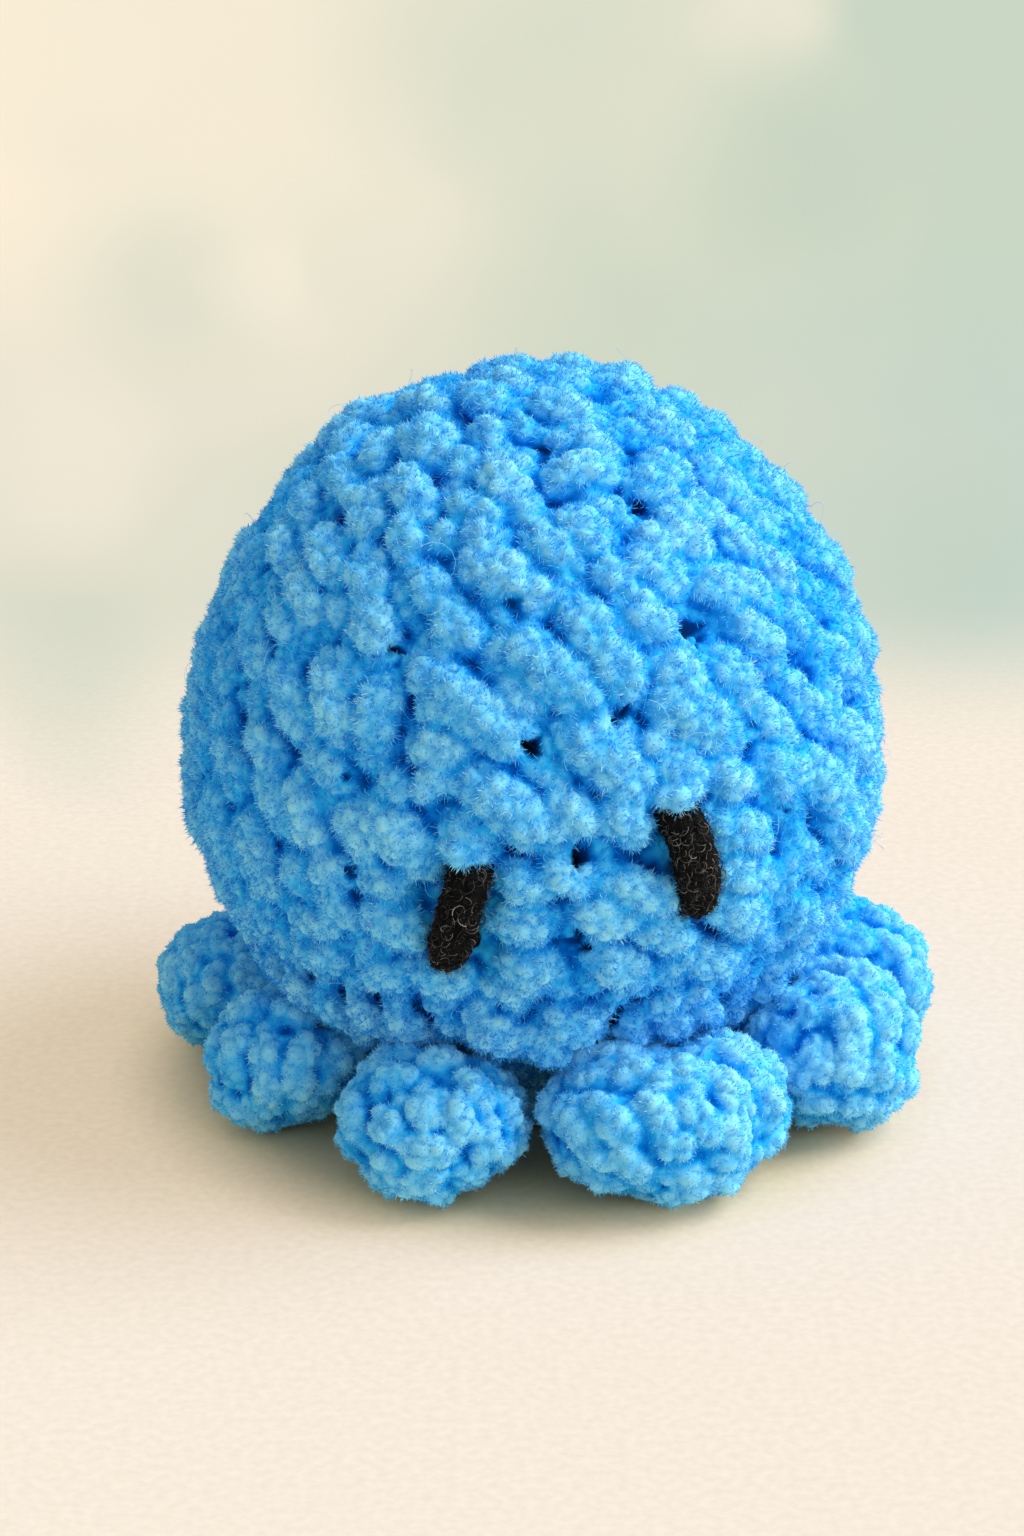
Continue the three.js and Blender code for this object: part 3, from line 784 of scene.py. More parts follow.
# The strands that show on the face, as they lie in the photograph: the pixels of their two ends, their width
# in pixels, and how far they stand over the rest in millimetres
FACE_STRANDS = [
    (402, 652, 530, 755, 50, 0.6), (492, 622, 612, 718, 54, 0.3), (488, 668, 548, 720, 40, -0.8),
    (428, 595, 478, 645, 45, -0.2), (405, 562, 440, 600, 40, -0.1), (448, 545, 558, 602, 55, 0),
    (442, 490, 500, 515, 38, 0), (455, 520, 505, 540, 35, -0.4), (520, 520, 590, 560, 45, -0.2),
    (545, 470, 625, 455, 45, 0.2), (560, 500, 618, 545, 45, 0), (566, 592, 645, 705, 54, 0.4),
    (620, 585, 682, 640, 50, 0.3), (655, 650, 720, 698, 45, 0), (655, 690, 755, 745, 60, 0.6),
    (722, 650, 772, 715, 50, 0.3), (735, 600, 800, 665, 45, 0.1), (690, 560, 765, 600, 45, 0),
    (625, 550, 700, 590, 45, 0), (598, 555, 650, 580, 40, -0.4), (672, 485, 715, 560, 50, 0.2),
    (640, 520, 690, 548, 38, -0.2), (630, 462, 690, 490, 42, 0), (690, 480, 740, 520, 40, 0),
    (725, 510, 772, 560, 45, 0), (725, 565, 785, 600, 42, 0), (640, 400, 710, 440, 45, 0),
    (650, 440, 700, 480, 40, 0), (700, 440, 760, 500, 45, 0), (740, 480, 790, 530, 40, 0),
    (770, 540, 810, 590, 40, 0), (530, 380, 605, 415, 45, 0.2), (562, 425, 622, 440, 38, 0),
    (508, 400, 535, 420, 28, -0.5), (500, 440, 535, 455, 30, -0.5), (492, 440, 515, 500, 50, 0.3),
    (440, 440, 480, 470, 38, -0.2), (465, 425, 505, 415, 36, 0), (400, 410, 440, 455, 60, 0.4),
    (390, 452, 425, 520, 40, 0.4), (392, 505, 410, 560, 38, 0.2), (425, 520, 448, 540, 35, -0.4),
    (375, 465, 345, 520, 40, 0), (378, 500, 345, 530, 36, 0.1), (350, 540, 365, 600, 46, 0.3),
    (358, 590, 372, 662, 46, 0.3), (305, 520, 325, 580, 42, 0.2), (280, 560, 308, 620, 34, 0),
    (318, 590, 330, 618, 30, -0.6), (275, 510, 270, 560, 34, 0), (300, 470, 290, 520, 36, 0),
    (320, 450, 350, 480, 40, 0), (330, 480, 350, 495, 30, -0.4), (385, 420, 360, 460, 45, 0.1),
    (350, 415, 335, 445, 40, 0), (395, 375, 440, 395, 40, 0), (455, 375, 505, 395, 40, 0),
    (480, 362, 530, 374, 40, 0), (312, 645, 335, 755, 46, 0.4), (265, 645, 290, 745, 42, 0.1),
    (240, 590, 250, 690, 40, 0), (262, 590, 285, 640, 36, -0.2), (335, 640, 348, 700, 34, -0.3),
    (383, 668, 358, 755, 46, 0.1), (402, 740, 465, 758, 42, -0.1), (415, 708, 440, 725, 34, -0.4),
    (392, 775, 385, 805, 32, -0.2), (430, 770, 412, 805, 30, -0.1), (450, 770, 570, 855, 52, 0.3),
    (440, 820, 490, 865, 45, -0.1), (345, 800, 432, 880, 54, 0.3), (280, 775, 315, 865, 44, 0.1),
    (335, 805, 365, 870, 38, -0.1), (245, 760, 285, 850, 42, 0), (290, 750, 340, 795, 36, -0.6),
    (235, 715, 262, 770, 36, -0.2), (205, 700, 225, 790, 36, 0), (770, 755, 815, 795, 50, 0.2),
    (662, 755, 708, 795, 48, 0.2), (715, 760, 765, 800, 44, -0.2), (560, 715, 665, 815, 62, 0.2),
    (552, 800, 600, 838, 40, 0), (605, 800, 655, 845, 40, 0), (655, 735, 672, 750, 30, -0.1),
    (705, 820, 785, 850, 50, 0.1), (720, 870, 775, 890, 40, 0), (722, 905, 778, 940, 48, 0.1),
    (610, 890, 685, 915, 44, 0.2), (540, 875, 600, 890, 40, 0), (580, 920, 640, 930, 42, 0.1),
    (482, 925, 560, 945, 50, 0.1), (495, 885, 555, 900, 40, -0.1), (645, 935, 700, 955, 40, 0),
    (690, 965, 750, 975, 38, 0), (500, 975, 560, 990, 38, 0), (590, 965, 650, 985, 46, 0.2),
    (480, 1000, 540, 1005, 36, 0), (352, 915, 420, 955, 48, 0.2), (300, 865, 335, 895, 40, 0),
    (275, 870, 295, 900, 36, 0), (310, 905, 345, 935, 36, 0), (290, 925, 330, 935, 36, 0),
    (360, 885, 400, 895, 34, -0.4), (285, 955, 330, 975, 40, 0), (350, 980, 400, 990, 36, 0),
    (400, 985, 470, 1000, 36, 0), (440, 852, 486, 857, 30, 0.9), (664, 793, 700, 796, 30, 0.9),
    (470, 1030, 528, 1050, 44, 2.0), (530, 1038, 562, 1056, 36, 2.4), (548, 1028, 600, 1034, 40, 1.6),
]
PIXEL = 0.106  # millimetres that one pixel covers on the face
FULLER = 1.16  # how much wider a strand is than what shows of it between its neighbours
FACE_TUCK = 1.6
FACE_REACH = 26  # pixels round a strand of the face in which the others lie under it
UNDER_FACE = 1.3  # how much deeper they lie
EYE_ROOM = 3.0  # from the eyes to the middle line of a strand: 1 more in the rounds and 1 less on the face
OVER_EYES = 0.8  # how far a strand stands out that is meant to cover the end of an eye
# The pixels of the upper and lower end of each eye, and how far its lower end is drawn to the right and down
# the face to reach them
EYE_ENDS = [((472, 868), (447, 975)), ((679, 805), (703, 916))]
EYE_DRAWN = [(-0.6, 2.6), (0, 2.1)]
EYE_DRAWN_FROM = 0.55  # share of an eye's length, below which it is drawn down
EYE_ASIDE = 0.5  # how far the right eye is drawn further right
EYE_ASIDE_FROM, EYE_ASIDE_TO = 590, 650  # pixels between which the yarn behind the face follows it
EYE_SHOWS = 0.8  # how far outside the head its yarn shows


def drawn_down(points):
    """Points of the eyes' yarn with the lower parts of both stitches drawn further down the face."""
    column = in_photo(points)[:, 0]
    aside = np.clip((column - EYE_ASIDE_FROM) / (EYE_ASIDE_TO - EYE_ASIDE_FROM), 0, 1)
    moved = points + EYE_ASIDE * aside[:, None] * RIGHT
    right = column > (EYE_ENDS[0][0][0] + EYE_ENDS[1][0][0]) / 2
    for is_right, ((top, bottom), (sideways, longer)) in enumerate(zip(EYE_ENDS, EYE_DRAWN)):
        start, end = on_face(*top), on_face(*bottom)
        length = np.linalg.norm(end - start)
        down = (end - start) / length
        along = (points - start) @ down / length
        share = np.clip((along - EYE_DRAWN_FROM) / (1 - EYE_DRAWN_FROM), 0, 1) * (right == bool(is_right))
        moved += share[:, None] * (longer * down + sideways * RIGHT)
    return moved


EYE_POINTS = drawn_down(solid_of("eye_yarn")[0])
EYE_POINTS = EYE_POINTS[over_head(EYE_POINTS) > EYE_SHOWS]


def clear_of_eyes(line, room):
    away = np.linalg.norm(line[:, None] - EYE_POINTS[None], axis=2)
    return away.min() > room


def near_rows(points, normals, rows, reach):
    """Whether each point shows in the photograph within reach of one of the rows' strands."""
    seen = in_photo(points)
    found = np.zeros(len(points), bool)
    for x0, y0, x1, y1, _, _ in rows:
        start, way = np.array([x0, y0], float), np.array([x1 - x0, y1 - y0], float)
        t = np.clip((seen - start) @ way / (way @ way), 0, 1)
        found |= np.linalg.norm(seen - start - t[:, None] * way, axis=1) < reach
    return found & (normals @ BACK > FACING)


# The gaps that show between strands of the face: pixel, radius in pixels and share of the full depth
FACE_GAPS = [
    (534, 752, 9, 1), (541, 743, 7, 1), (621, 716, 7, 0.9), (629, 712, 6, 0.6), (394, 652, 8, 0.9),
    (350, 777, 8, 0.5), (575, 862, 8, 1), (582, 853, 9, 1), (575, 938, 8, 0.6), (580, 948, 8, 0.8),
    (512, 603, 8, 0.4), (690, 628, 10, 0.7), (700, 640, 7, 0.5), (757, 728, 6, 0.45), (785, 812, 7, 0.4),
    (540, 447, 8, 0.5), (245, 680, 7, 0.4), (350, 872, 7, 0.45), (635, 510, 9, 0.4),
]
GAP_SHAKEN, GAP_SHAKEN_SIZE = 0.7, 1.3  # how far their borders are moved by noise, and its size
GAP_SEED = 300


def face_gaps(points):
    """How far each point lies in a gap of the face, from 0 round it to 1 in the middle of the deepest."""
    seen = in_photo(shaken(points, GAP_SEED, GAP_SHAKEN, GAP_SHAKEN_SIZE))
    found = np.zeros(len(points))
    for x, y, radius, depth in FACE_GAPS:
        away = np.linalg.norm(seen - np.array([x, y]), axis=1) / radius
        found = np.maximum(found, depth * np.exp(-away * away))
    return found * (on_head(points)[1] @ BACK > FACING)


ASKED_AT = np.array([0.1, 0.5, 0.9])[:, None]  # where along a strand it is asked whether others cover it
COVERED = 0.3  # share of these places from which it lies under them
UNDER_EYES = 2.2  # how much deeper it lies at an eye
UNDER_RADIUS = 0.92  # share of its radius that it has if it lies deeper
ROUNDS_OVERLAP = 2  # how far the large rounds go down past the start of the small ones
ROUND_JITTER = 0.06  # of a stitch, round the head
END_JITTER = 0.8
# Of the upper and the lower strands of a round: the radius as a share, the ranges of how far they stand proud
# and of their bow
UPPER_RADIUS, UPPER_PROUD, UPPER_BOW = (0.92, 1.08), (-0.5, 0.3), (-1, 1)
LOWER_RADIUS, LOWER_PROUD, LOWER_BOW = 0.86, (-1.6, -1.0), (-0.8, 0.8)
LOWER_LEAN = (0.5, -0.4)  # of the upper strand's, at its upper and lower end
ROUND_TUCK = 2.0
# The same for the small stitches low on the head
LOW_RADIUS, LOW_PROUD, LOW_BOW = (0.85, 1.15), (-0.7, 0), (-0.5, 0.5)
LOW_LEAN = (0.6, 1.8)
LOW_ASIDE, LOW_JITTER = 0.25, 0.15  # how far they lie aside in each round, in stitches
LOW_LENGTH = 0.45  # half of it, in heights of a round
LOW_TUCK = 0.9
# The same for the strands of the face
FACE_SHORTER = 0.35  # radii by which each end is drawn in
FACE_UNDER_EYES = 0.8
FACE_SUNK = 0.2
FACE_BOW = (-0.5, 0.5)
FACE_NECK = 0.86


def lay_on_head(strands, start, end, radius, proud, tuck, bow, fuller=0):
    """A strand of the rounds, which lies deeper where a strand of the face covers it. Proud and bow are
    ranges."""
    proud, bow = rng.uniform(*proud) + fuller, rng.uniform(*bow)
    line, normals = on_head(start + (end - start) * ASKED_AT)
    covered = near_rows(line, normals, FACE_STRANDS, FACE_REACH).mean()
    deeper = UNDER_FACE * (covered > COVERED) + (0 if clear_of_eyes(line, EYE_ROOM + 1) else UNDER_EYES)
    radius = radius * (UNDER_RADIUS if deeper else 1)
    lay(strands, on_head, start, end, radius, proud - deeper, tuck, bow, rng.random())


def lay_rounds(strands):
    """Rounds of strands that lean one way, with deeper ones between them that lean the other way."""
    phase, middle = 0.0, FIRST_ROUND
    while True:
        count, level = round_of(middle, STITCH_WIDTH)
        if level < LOW_ROUNDS_FROM - ROUNDS_OVERLAP:
            return
        stitch = 360 / count
        phase += stitch / 2 + ROUND_TWIST
        top, foot = middle - STRAND_LENGTH / 2, middle + STRAND_LENGTH / 2
        for index in range(count):
            bearing = phase + index * stitch + rng.uniform(-ROUND_JITTER, ROUND_JITTER) * stitch
            lean = STRAND_LEAN + LEAN_CHANGE * math.sin(math.radians(bearing))
            jitter = rng.uniform(-END_JITTER, END_JITTER, 4)
            ends = down_head(bearing, top + jitter[0], -lean), down_head(bearing, foot + jitter[1], lean)
            radius = STRAND_RADIUS * rng.uniform(*UPPER_RADIUS)
            lay_on_head(strands, *ends, radius, UPPER_PROUD, ROUND_TUCK, UPPER_BOW)
            bearing += stitch / 2
            start = down_head(bearing, top + jitter[2], lean * LOWER_LEAN[0])
            end = down_head(bearing, foot + jitter[3], lean * LOWER_LEAN[1])
            radius = STRAND_RADIUS * LOWER_RADIUS
            lay_on_head(strands, start, end, radius, LOWER_PROUD, ROUND_TUCK, LOWER_BOW)
        middle += ROUND_HEIGHT


def lay_low_rounds(strands):
    """The small pressed stitches low on the head, which lean one way in one round and the other in the
    next."""
    middle = np.interp(-LOW_ROUNDS_FROM, -OUTLINE[:, 2], OUTLINE_LENGTHS)
    side = 1
    while True:
        count, level = round_of(middle, LOW_STITCH_WIDTH)
        if level < LOW_ROUNDS_TO:
            return
        fuller = LOWEST_FULLER if level < LOWEST_FROM else 0
        for index in range(count):
            bearing = (index + LOW_ASIDE * side + rng.uniform(-LOW_JITTER, LOW_JITTER)) * 360 / count
            lean = side * rng.uniform(*LOW_LEAN)
            start = down_head(bearing, middle - LOW_ROUND_HEIGHT * LOW_LENGTH, -lean)
            end = down_head(bearing, middle + LOW_ROUND_HEIGHT * LOW_LENGTH, lean)
            radius = LOW_STRAND_RADIUS * rng.uniform(*LOW_RADIUS)
            lay_on_head(strands, start, end, radius, LOW_PROUD, LOW_TUCK, LOW_BOW, fuller)
        side = -side
        middle += LOW_ROUND_HEIGHT


def lay_face(strands):
    for x0, y0, x1, y1, width, rise in FACE_STRANDS:
        radius = width / 2 * PIXEL * FULLER
        start, end = on_face(x0, y0), on_face(x1, y1)
        shorter = unit(end - start) * radius * FACE_SHORTER
        start, end = start + shorter, end - shorter
        line = start + (end - start) * np.linspace(0, 1, STRAND_STEPS)[::2, None]
        if rise < OVER_EYES and not clear_of_eyes(line, EYE_ROOM - 1):
            rise -= FACE_UNDER_EYES
        bow = rng.uniform(*FACE_BOW)
        lay(strands, on_head, start, end, radius, rise - FACE_SUNK, FACE_TUCK, bow, rng.random(), FACE_NECK)


INNER_FROM = 0.75  # share of the bed's depth from which points belong to the inside of the cover
HEAD_BARE = -3.6  # height over its outline under which the head has no fibres
HEAD_SEED, HEAD_PILE_SEED = 21, 31
STRAYS = {"seed": 33, "width": 0.05, "radius": (0.8, 2.4), "turn": (1.2, 3.6), "lift": (0.5, 1.4)}


def head_ground():
    """The head's solid with its outside laid deeper, as the ground under its strands."""
    points, faces = solid_of("head_cover")
    on, normal = on_head(points)
    outside = over_head(points) > -INNER_FROM * BED
    return np.where(outside[:, None], on - normal * BED, points), faces


def make_head(yarn, pile):
    strands = Strands()
    lay_rounds(strands)
    lay_low_rounds(strands)
    lay_face(strands)
    strands.add_solid(*head_ground())
    head = joined(strands, "head_yarn", HEAD_VOXEL)
    share, bright = tufted(head, strands, over_head, HEAD_SEED, TUFT_HEIGHT, face_gaps)
    points = points_of(head.data)
    share = share * (over_head(points) > HEAD_BARE)
    bright = bright * np.clip(points[:, 2] / SHADED_UNDER, SHADED_LEAST, 1)
    dress(head, yarn)
    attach(head, "head")
    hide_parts("head_cover")
    strays = curls_on(head, "head_strays", share, STRAYS_PER_MM2, **STRAYS)
    for piece in pile_on(head, "head_pile", share, FIBRES_PER_MM2, HEAD_PILE_SEED, bright) + [strays]:
        dress(piece, pile)
        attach(piece, "head")


# Tentacles

RAY_START = 60  # farther from a tentacle's middle than any of its cover


def lobe_surface(points, faces):
    """A function that moves points onto the outside of a tentacle's cover, seen from its middle."""
    tree = BVHTree.FromPolygons(points.tolist(), faces.tolist())
    low, high = points.min(0), points.max(0)
    middle = (low + high) / 2

    def surface(wanted):
        found, normals = [], []
        for p in np.atleast_2d(wanted):
            way = unit(p - middle)
            hit, normal, _, _ = tree.ray_cast(Vector(middle + way * RAY_START), Vector(-way))
            if hit is None:
                hit, normal = Vector(p), Vector(way)
            found.append(hit)
            normals.append(unit(np.array(normal) + way))
        return np.array(found, float), unit(np.array(normals, float))

    return surface, middle, tree


# How each tentacle's rounds lie, going round from the front left: the way in which the middle of its rounds
# points, as shares outwards, sideways (towards larger bearings) and upwards, the distance between the rounds,
# the length of a stitch along them, the radius of its strands and how far each drifts out of its round
LOBE_ROUNDS = [
    ((0.8, -0.2, 0.1), 3.9, 4.2, 1.9, 0.04),
    ((0.2, -0.1, 1.0), 5.0, 4.8, 2.4, 0.04),
    ((0.3, -1.0, 0.3), 4.5, 4.6, 2.1, 0.03),
    ((0.2, -1.0, 0.1), 4.6, 5.6, 2.2, 0.03),
    ((0.9, 0.2, 0.3), 4.3, 4.6, 2.1, 0.05),
    ((0.8, -0.3, 0.4), 4.3, 4.6, 2.1, 0.05),
    ((0.5, 0.8, 0.4), 4.3, 4.6, 2.0, 0.04),
    ((0.1, 1.0, 0.15), 4.2, 5.6, 2.0, 0.03),
]
# The strands that show on the tentacles, by the tentacle's number, as on the face
LOBE_STRANDS = {
    1: [
        (351, 1088, 357, 1146, 28, 0.1), (371, 1077, 408, 1071, 30, 0.2), (377, 1115, 394, 1140, 32, 0.4),
        (403, 1151, 449, 1153, 32, 0.5), (426, 1056, 460, 1054, 32, 0.2), (466, 1068, 489, 1108, 34, 0.3),
        (420, 1092, 426, 1128, 28, 0.2), (452, 1100, 466, 1137, 32, 0.4), (492, 1123, 489, 1163, 34, 0.2),
        (509, 1088, 517, 1128, 30, 0), (408, 1174, 449, 1186, 30, 0), (460, 1186, 489, 1174, 30, 0),
        (368, 1157, 394, 1174, 28, 0), (388, 1047, 414, 1050, 28, 0),
    ],
    2: [
        (544, 1060, 582, 1035, 36, 0.3), (584, 1035, 625, 1044, 38, 0.4), (628, 1042, 662, 1032, 32, 0.2),
        (541, 1075, 541, 1125, 32, 0), (555, 1100, 596, 1143, 34, 0.3), (585, 1102, 636, 1137, 38, 0.7),
        (641, 1102, 671, 1128, 34, 0.5), (671, 1056, 705, 1088, 36, 0.2), (728, 1044, 768, 1059, 38, 0.3),
        (711, 1065, 751, 1112, 38, 0.2), (763, 1073, 784, 1117, 34, 0.1), (682, 1096, 720, 1144, 36, 0.5),
        (728, 1119, 746, 1152, 36, 0.2), (570, 1140, 605, 1167, 32, 0), (610, 1148, 648, 1182, 34, 0.1),
        (654, 1142, 694, 1150, 32, 0.2), (660, 1180, 705, 1182, 32, 0), (717, 1163, 752, 1158, 30, 0),
    ],
    3: [
        (811, 974, 847, 995, 36, 0.3), (849, 998, 857, 1040, 38, 0.3), (857, 1046, 851, 1085, 36, 0.2),
        (836, 958, 880, 985, 34, 0.3), (882, 990, 891, 1040, 38, 0.4), (891, 1046, 880, 1088, 38, 0.3),
        (874, 962, 904, 1000, 30, 0.1), (909, 1008, 912, 1053, 30, 0.2), (909, 1060, 897, 1092, 30, 0.1),
        (779, 998, 800, 990, 28, 0), (794, 1062, 800, 1090, 30, 0), (815, 1045, 820, 1080, 32, 0),
        (800, 1102, 834, 1115, 30, 0), (845, 1113, 878, 1108, 30, 0), (802, 1012, 825, 1004, 28, 0.1),
    ],
    4: [
        (850, 942, 880, 932, 30, 0.2), (885, 935, 906, 955, 32, 0.3), (909, 960, 916, 1000, 32, 0.3),
        (874, 910, 903, 924, 30, 0.2), (908, 930, 924, 962, 32, 0.3), (925, 968, 922, 1010, 32, 0.3),
    ],
    7: [
        (174, 955, 169, 1000, 28, 0.2), (172, 1008, 188, 1040, 28, 0.1), (193, 930, 187, 975, 30, 0.2),
        (189, 985, 202, 1026, 28, 0.1), (213, 922, 206, 955, 28, 0.1), (209, 965, 215, 1002, 26, 0),
        (198, 918, 225, 909, 28, 0),
    ],
    8: [
        (263, 1031, 271, 1108, 28, 0.4), (311, 1034, 287, 1100, 31, 0.4), (335, 1014, 325, 1072, 38, 0.4),
        (236, 1025, 230, 1085, 33, 0.1), (357, 1022, 351, 1060, 27, 0), (276, 1003, 311, 1015, 30, 0),
        (305, 1080, 311, 1104, 27, 0.1), (228, 1012, 255, 999, 30, 0), (246, 1108, 270, 1122, 27, -0.2),
        (290, 1114, 325, 1100, 28, -0.3), (327, 1088, 345, 1078, 26, -0.2),
    ],
}
LOBE_REACH = 20  # pixels round them in which the other strands lie under them
UNDER_LOBE = 1.2
LOBE_RISE = 0.5  # how far the highest of them stand out of the solid, besides their own rise
LOBE_BED = 3.6  # how far the ground under a tentacle's strands lies inside its solid
LOBE_TUCK = 1.0
LOBE_STITCH = 0.85  # share of the way from one stitch to the next that its strand takes
LOBE_RADII, LOBE_PROUD, LOBE_DRIFT = (0.92, 1.08), (0, 0.5), (0.5, 1.5)  # ranges of chance
LOBE_JITTER = 0.12  # of a stitch, along its round
LOBE_NECK = 0.85
LOBE_FIBRE_LENGTH = (0.45, 0.8)
LOBE_SEED, LOBE_PILE_SEED = 40, 60  # to which a tentacle's number is added
LOBE_LEVEL = 0.8  # how far over its solid the level of its yarn lies
LOBE_BARE = -2.9  # height over that under which it has no fibres
LOBE_MISSED = 0.04  # how far a ray that misses a tentacle is turned to its middle
SEAM_TURNS = 12  # strands of the seam round a tentacle's root
SEAM_TILTS = np.radians(np.arange(20, 120, 5))  # where the root is looked for, from the way to the head
SEAM_RADIUS = 2.2
SEAM_OFF_HEAD = 0.9
SEAM_PROUD, SEAM_TUCK, SEAM_NECK = 1.2, 0.4, 0.9
SEAM_LONGEST = 15


def on_lobe(tree, middle, x, y):
    """The place on a tentacle that shows at a pixel of the photograph, or else close to it."""
    ray = pixel_ray(x, y)
    towards = (middle - EYE) / -((middle - EYE) @ BACK)
    hit = None
    while hit is None:
        hit = tree.ray_cast(Vector(EYE), Vector(unit(ray)))[0]
        ray = ray + LOBE_MISSED * (towards - ray)
    return np.array(hit)


def lobe_strands(index, surface, middle, tree, outwards, size):
    strands = Strands()
    rows = LOBE_STRANDS.get(index, [])
    for x0, y0, x1, y1, width, rise in rows:
        ends = on_lobe(tree, middle, x0, y0), on_lobe(tree, middle, x1, y1)
        radius = width / 2 * PIXEL * FULLER
        lay(strands, surface, *ends, radius, rise + LOBE_RISE, LOBE_TUCK, 0, rng.random(), LOBE_NECK)
    pole, apart, length, widest, drifts = LOBE_ROUNDS[index - 1]
    sideways = np.array([-outwards[1], outwards[0], 0])
    pole = unit(np.array([outwards, sideways, [0, 0, 1]]).T @ np.array(pole, float))
    side = unit(np.cross(pole, [0.1, 0.2, 1.0]))
    up = np.cross(side, pole)

    def along_round(tilt, turn):
        way = (math.cos(turn) * side + math.sin(turn) * up) * math.sin(tilt) + pole * math.cos(tilt)
        return surface(middle + way * size)[0][0]

    for ring, tilt in enumerate(np.arange(0.5 * apart / size, math.pi, apart / size)):
        stitches = max(2, round(2 * math.pi * size * math.sin(tilt) / length))
        half = math.pi / stitches * LOBE_STITCH
        for stitch in range(stitches):
            place = stitch + 0.5 * (ring % 2) + rng.uniform(-LOBE_JITTER, LOBE_JITTER)
            turn = place / stitches * 2 * math.pi
            drift = drifts * rng.uniform(*LOBE_DRIFT)
            start = along_round(tilt - drift, turn - half)
            end = along_round(tilt + drift, turn + half)
            covered = near_rows(*surface((start + end) / 2), rows, LOBE_REACH)[0]
            radius = widest * rng.uniform(*LOBE_RADII)
            proud = rng.uniform(*LOBE_PROUD) - UNDER_LOBE * covered
            lay(strands, surface, start, end, radius, proud, LOBE_TUCK, 0, rng.random(), LOBE_NECK)
    lay_seam(strands, surface, middle, size)
    return strands


def lay_seam(strands, surface, middle, size):
    """Strands laid round a tentacle where its outside meets the head, which hide its mouth."""
    towards = unit(HEAD_MIDDLE - middle)
    side = unit(np.cross(towards, [0, 0, 1.0]))
    up = np.cross(side, towards)
    ring = []
    for turn in np.linspace(0, 2 * math.pi, SEAM_TURNS, endpoint=False):
        level = math.cos(turn) * side + math.sin(turn) * up
        for tilt in SEAM_TILTS:
            way = towards * math.cos(tilt) + level * math.sin(tilt)
            place = surface(middle + way * size)[0][0]
            if over_head(place[None])[0] > SEAM_OFF_HEAD:
                ring.append(place)
                break
    for here, there in zip(ring, ring[1:] + ring[:1]):
        if np.linalg.norm(here - there) < SEAM_LONGEST and min(here[2], there[2]) > SEAM_RADIUS:
            lay(strands, surface, here, there, SEAM_RADIUS, SEAM_PROUD, SEAM_TUCK, 0, rng.random(), SEAM_NECK)


def make_tentacle(index, yarn, pile):
    name = f"tentacle_{index}"
    points, faces = solid_of(name + "_cover")
    surface, middle, tree = lobe_surface(points, faces)
    outwards = unit(np.array([middle[0], middle[1], 0]))
    size = np.abs((points - middle) @ outwards).max()
    strands = lobe_strands(index, surface, middle, tree, outwards, size)
    normals = normals_of(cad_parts[name + "_cover"].data)
    outside = (normals * unit(points - middle)).sum(1) > 0
    strands.add_solid(points - normals * (LOBE_BED * outside)[:, None], faces)
    lobe = joined(strands, name + "_yarn", LOBE_VOXEL)

    def height(points):
        out = []
        for p in points:
            hit, normal, _, distance = tree.find_nearest(Vector(p))
            inside = (Vector(p) - hit).dot(normal) < 0
            out.append(-distance if inside else distance)
        return np.array(out) - LOBE_LEVEL

    seed = LOBE_SEED + index
    share, bright = tufted(lobe, strands, height, seed, LOBE_TUFT_HEIGHT, soften=2, pressed=PRESSED)
    share = share * (height(points_of(lobe.data)) > LOBE_BARE)
    dress(lobe, yarn)
    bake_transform(lobe)
    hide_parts(name + "_cover")
    seed = LOBE_PILE_SEED + index
    for piece in pile_on(lobe, name + "_pile", share, FIBRES_PER_MM2, seed, bright, length=LOBE_FIBRE_LENGTH):
        dress(piece, pile)
        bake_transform(piece)


# Base

BASE_RINGS = (0.16, 0.42, 0.66, 0.86)  # shares of its radius
BASE_STITCH, BASE_FEWEST = 6, 5
BASE_OVERLAP = 1.25  # length of a strand, in stitches
BASE_STRAND = 2.2
BASE_DEEP, BASE_BENT = 2.3, 0.5  # how deep a strand's middle line lies in it, and how much deeper its ends
BASE_CORE = np.array([0.94, 0.94, 0.6])  # of the solid's size, for the ground under its strands
BASE_LOWEST = 0.15
BASE_PILE = 0.5  # share of the other pieces' fibres
BASE_FIBRE_LENGTH = (0.4, 0.7)
BASE_SEED, BASE_PILE_SEED = 71, 72


def flat_strands(low, high):
    """Stitches of the round base, in rings on its underside and top."""
    strands = Strands()
    t = np.linspace(0, 1, STRAND_STEPS)[:, None]
    for level, side in ((BASE_DEEP, 1), ((high.z - low.z) / MM - BASE_DEEP, -1)):
        for ring, share in enumerate(BASE_RINGS):
            radius = high.x / MM * share
            count = max(BASE_FEWEST, round(2 * math.pi * radius / BASE_STITCH))
            half = math.pi / count * BASE_OVERLAP
            for stitch in range(count):
                turn = (stitch + 0.5 * ring) / count * 2 * math.pi
                ends = (turn - half, turn + half)
                start, end = (np.array([radius * math.cos(a), radius * math.sin(a), 0]) for a in ends)
                line = start + (end - start) * t
                line[:, 2] = level + side * BASE_BENT * np.abs(2 * t[:, 0] - 1) ** 2
                up = np.tile([0, 0, -float(side)], (STRAND_STEPS, 1))
                strands.add(line, np.full(STRAND_STEPS, BASE_STRAND), up, rng.random())
    return strands


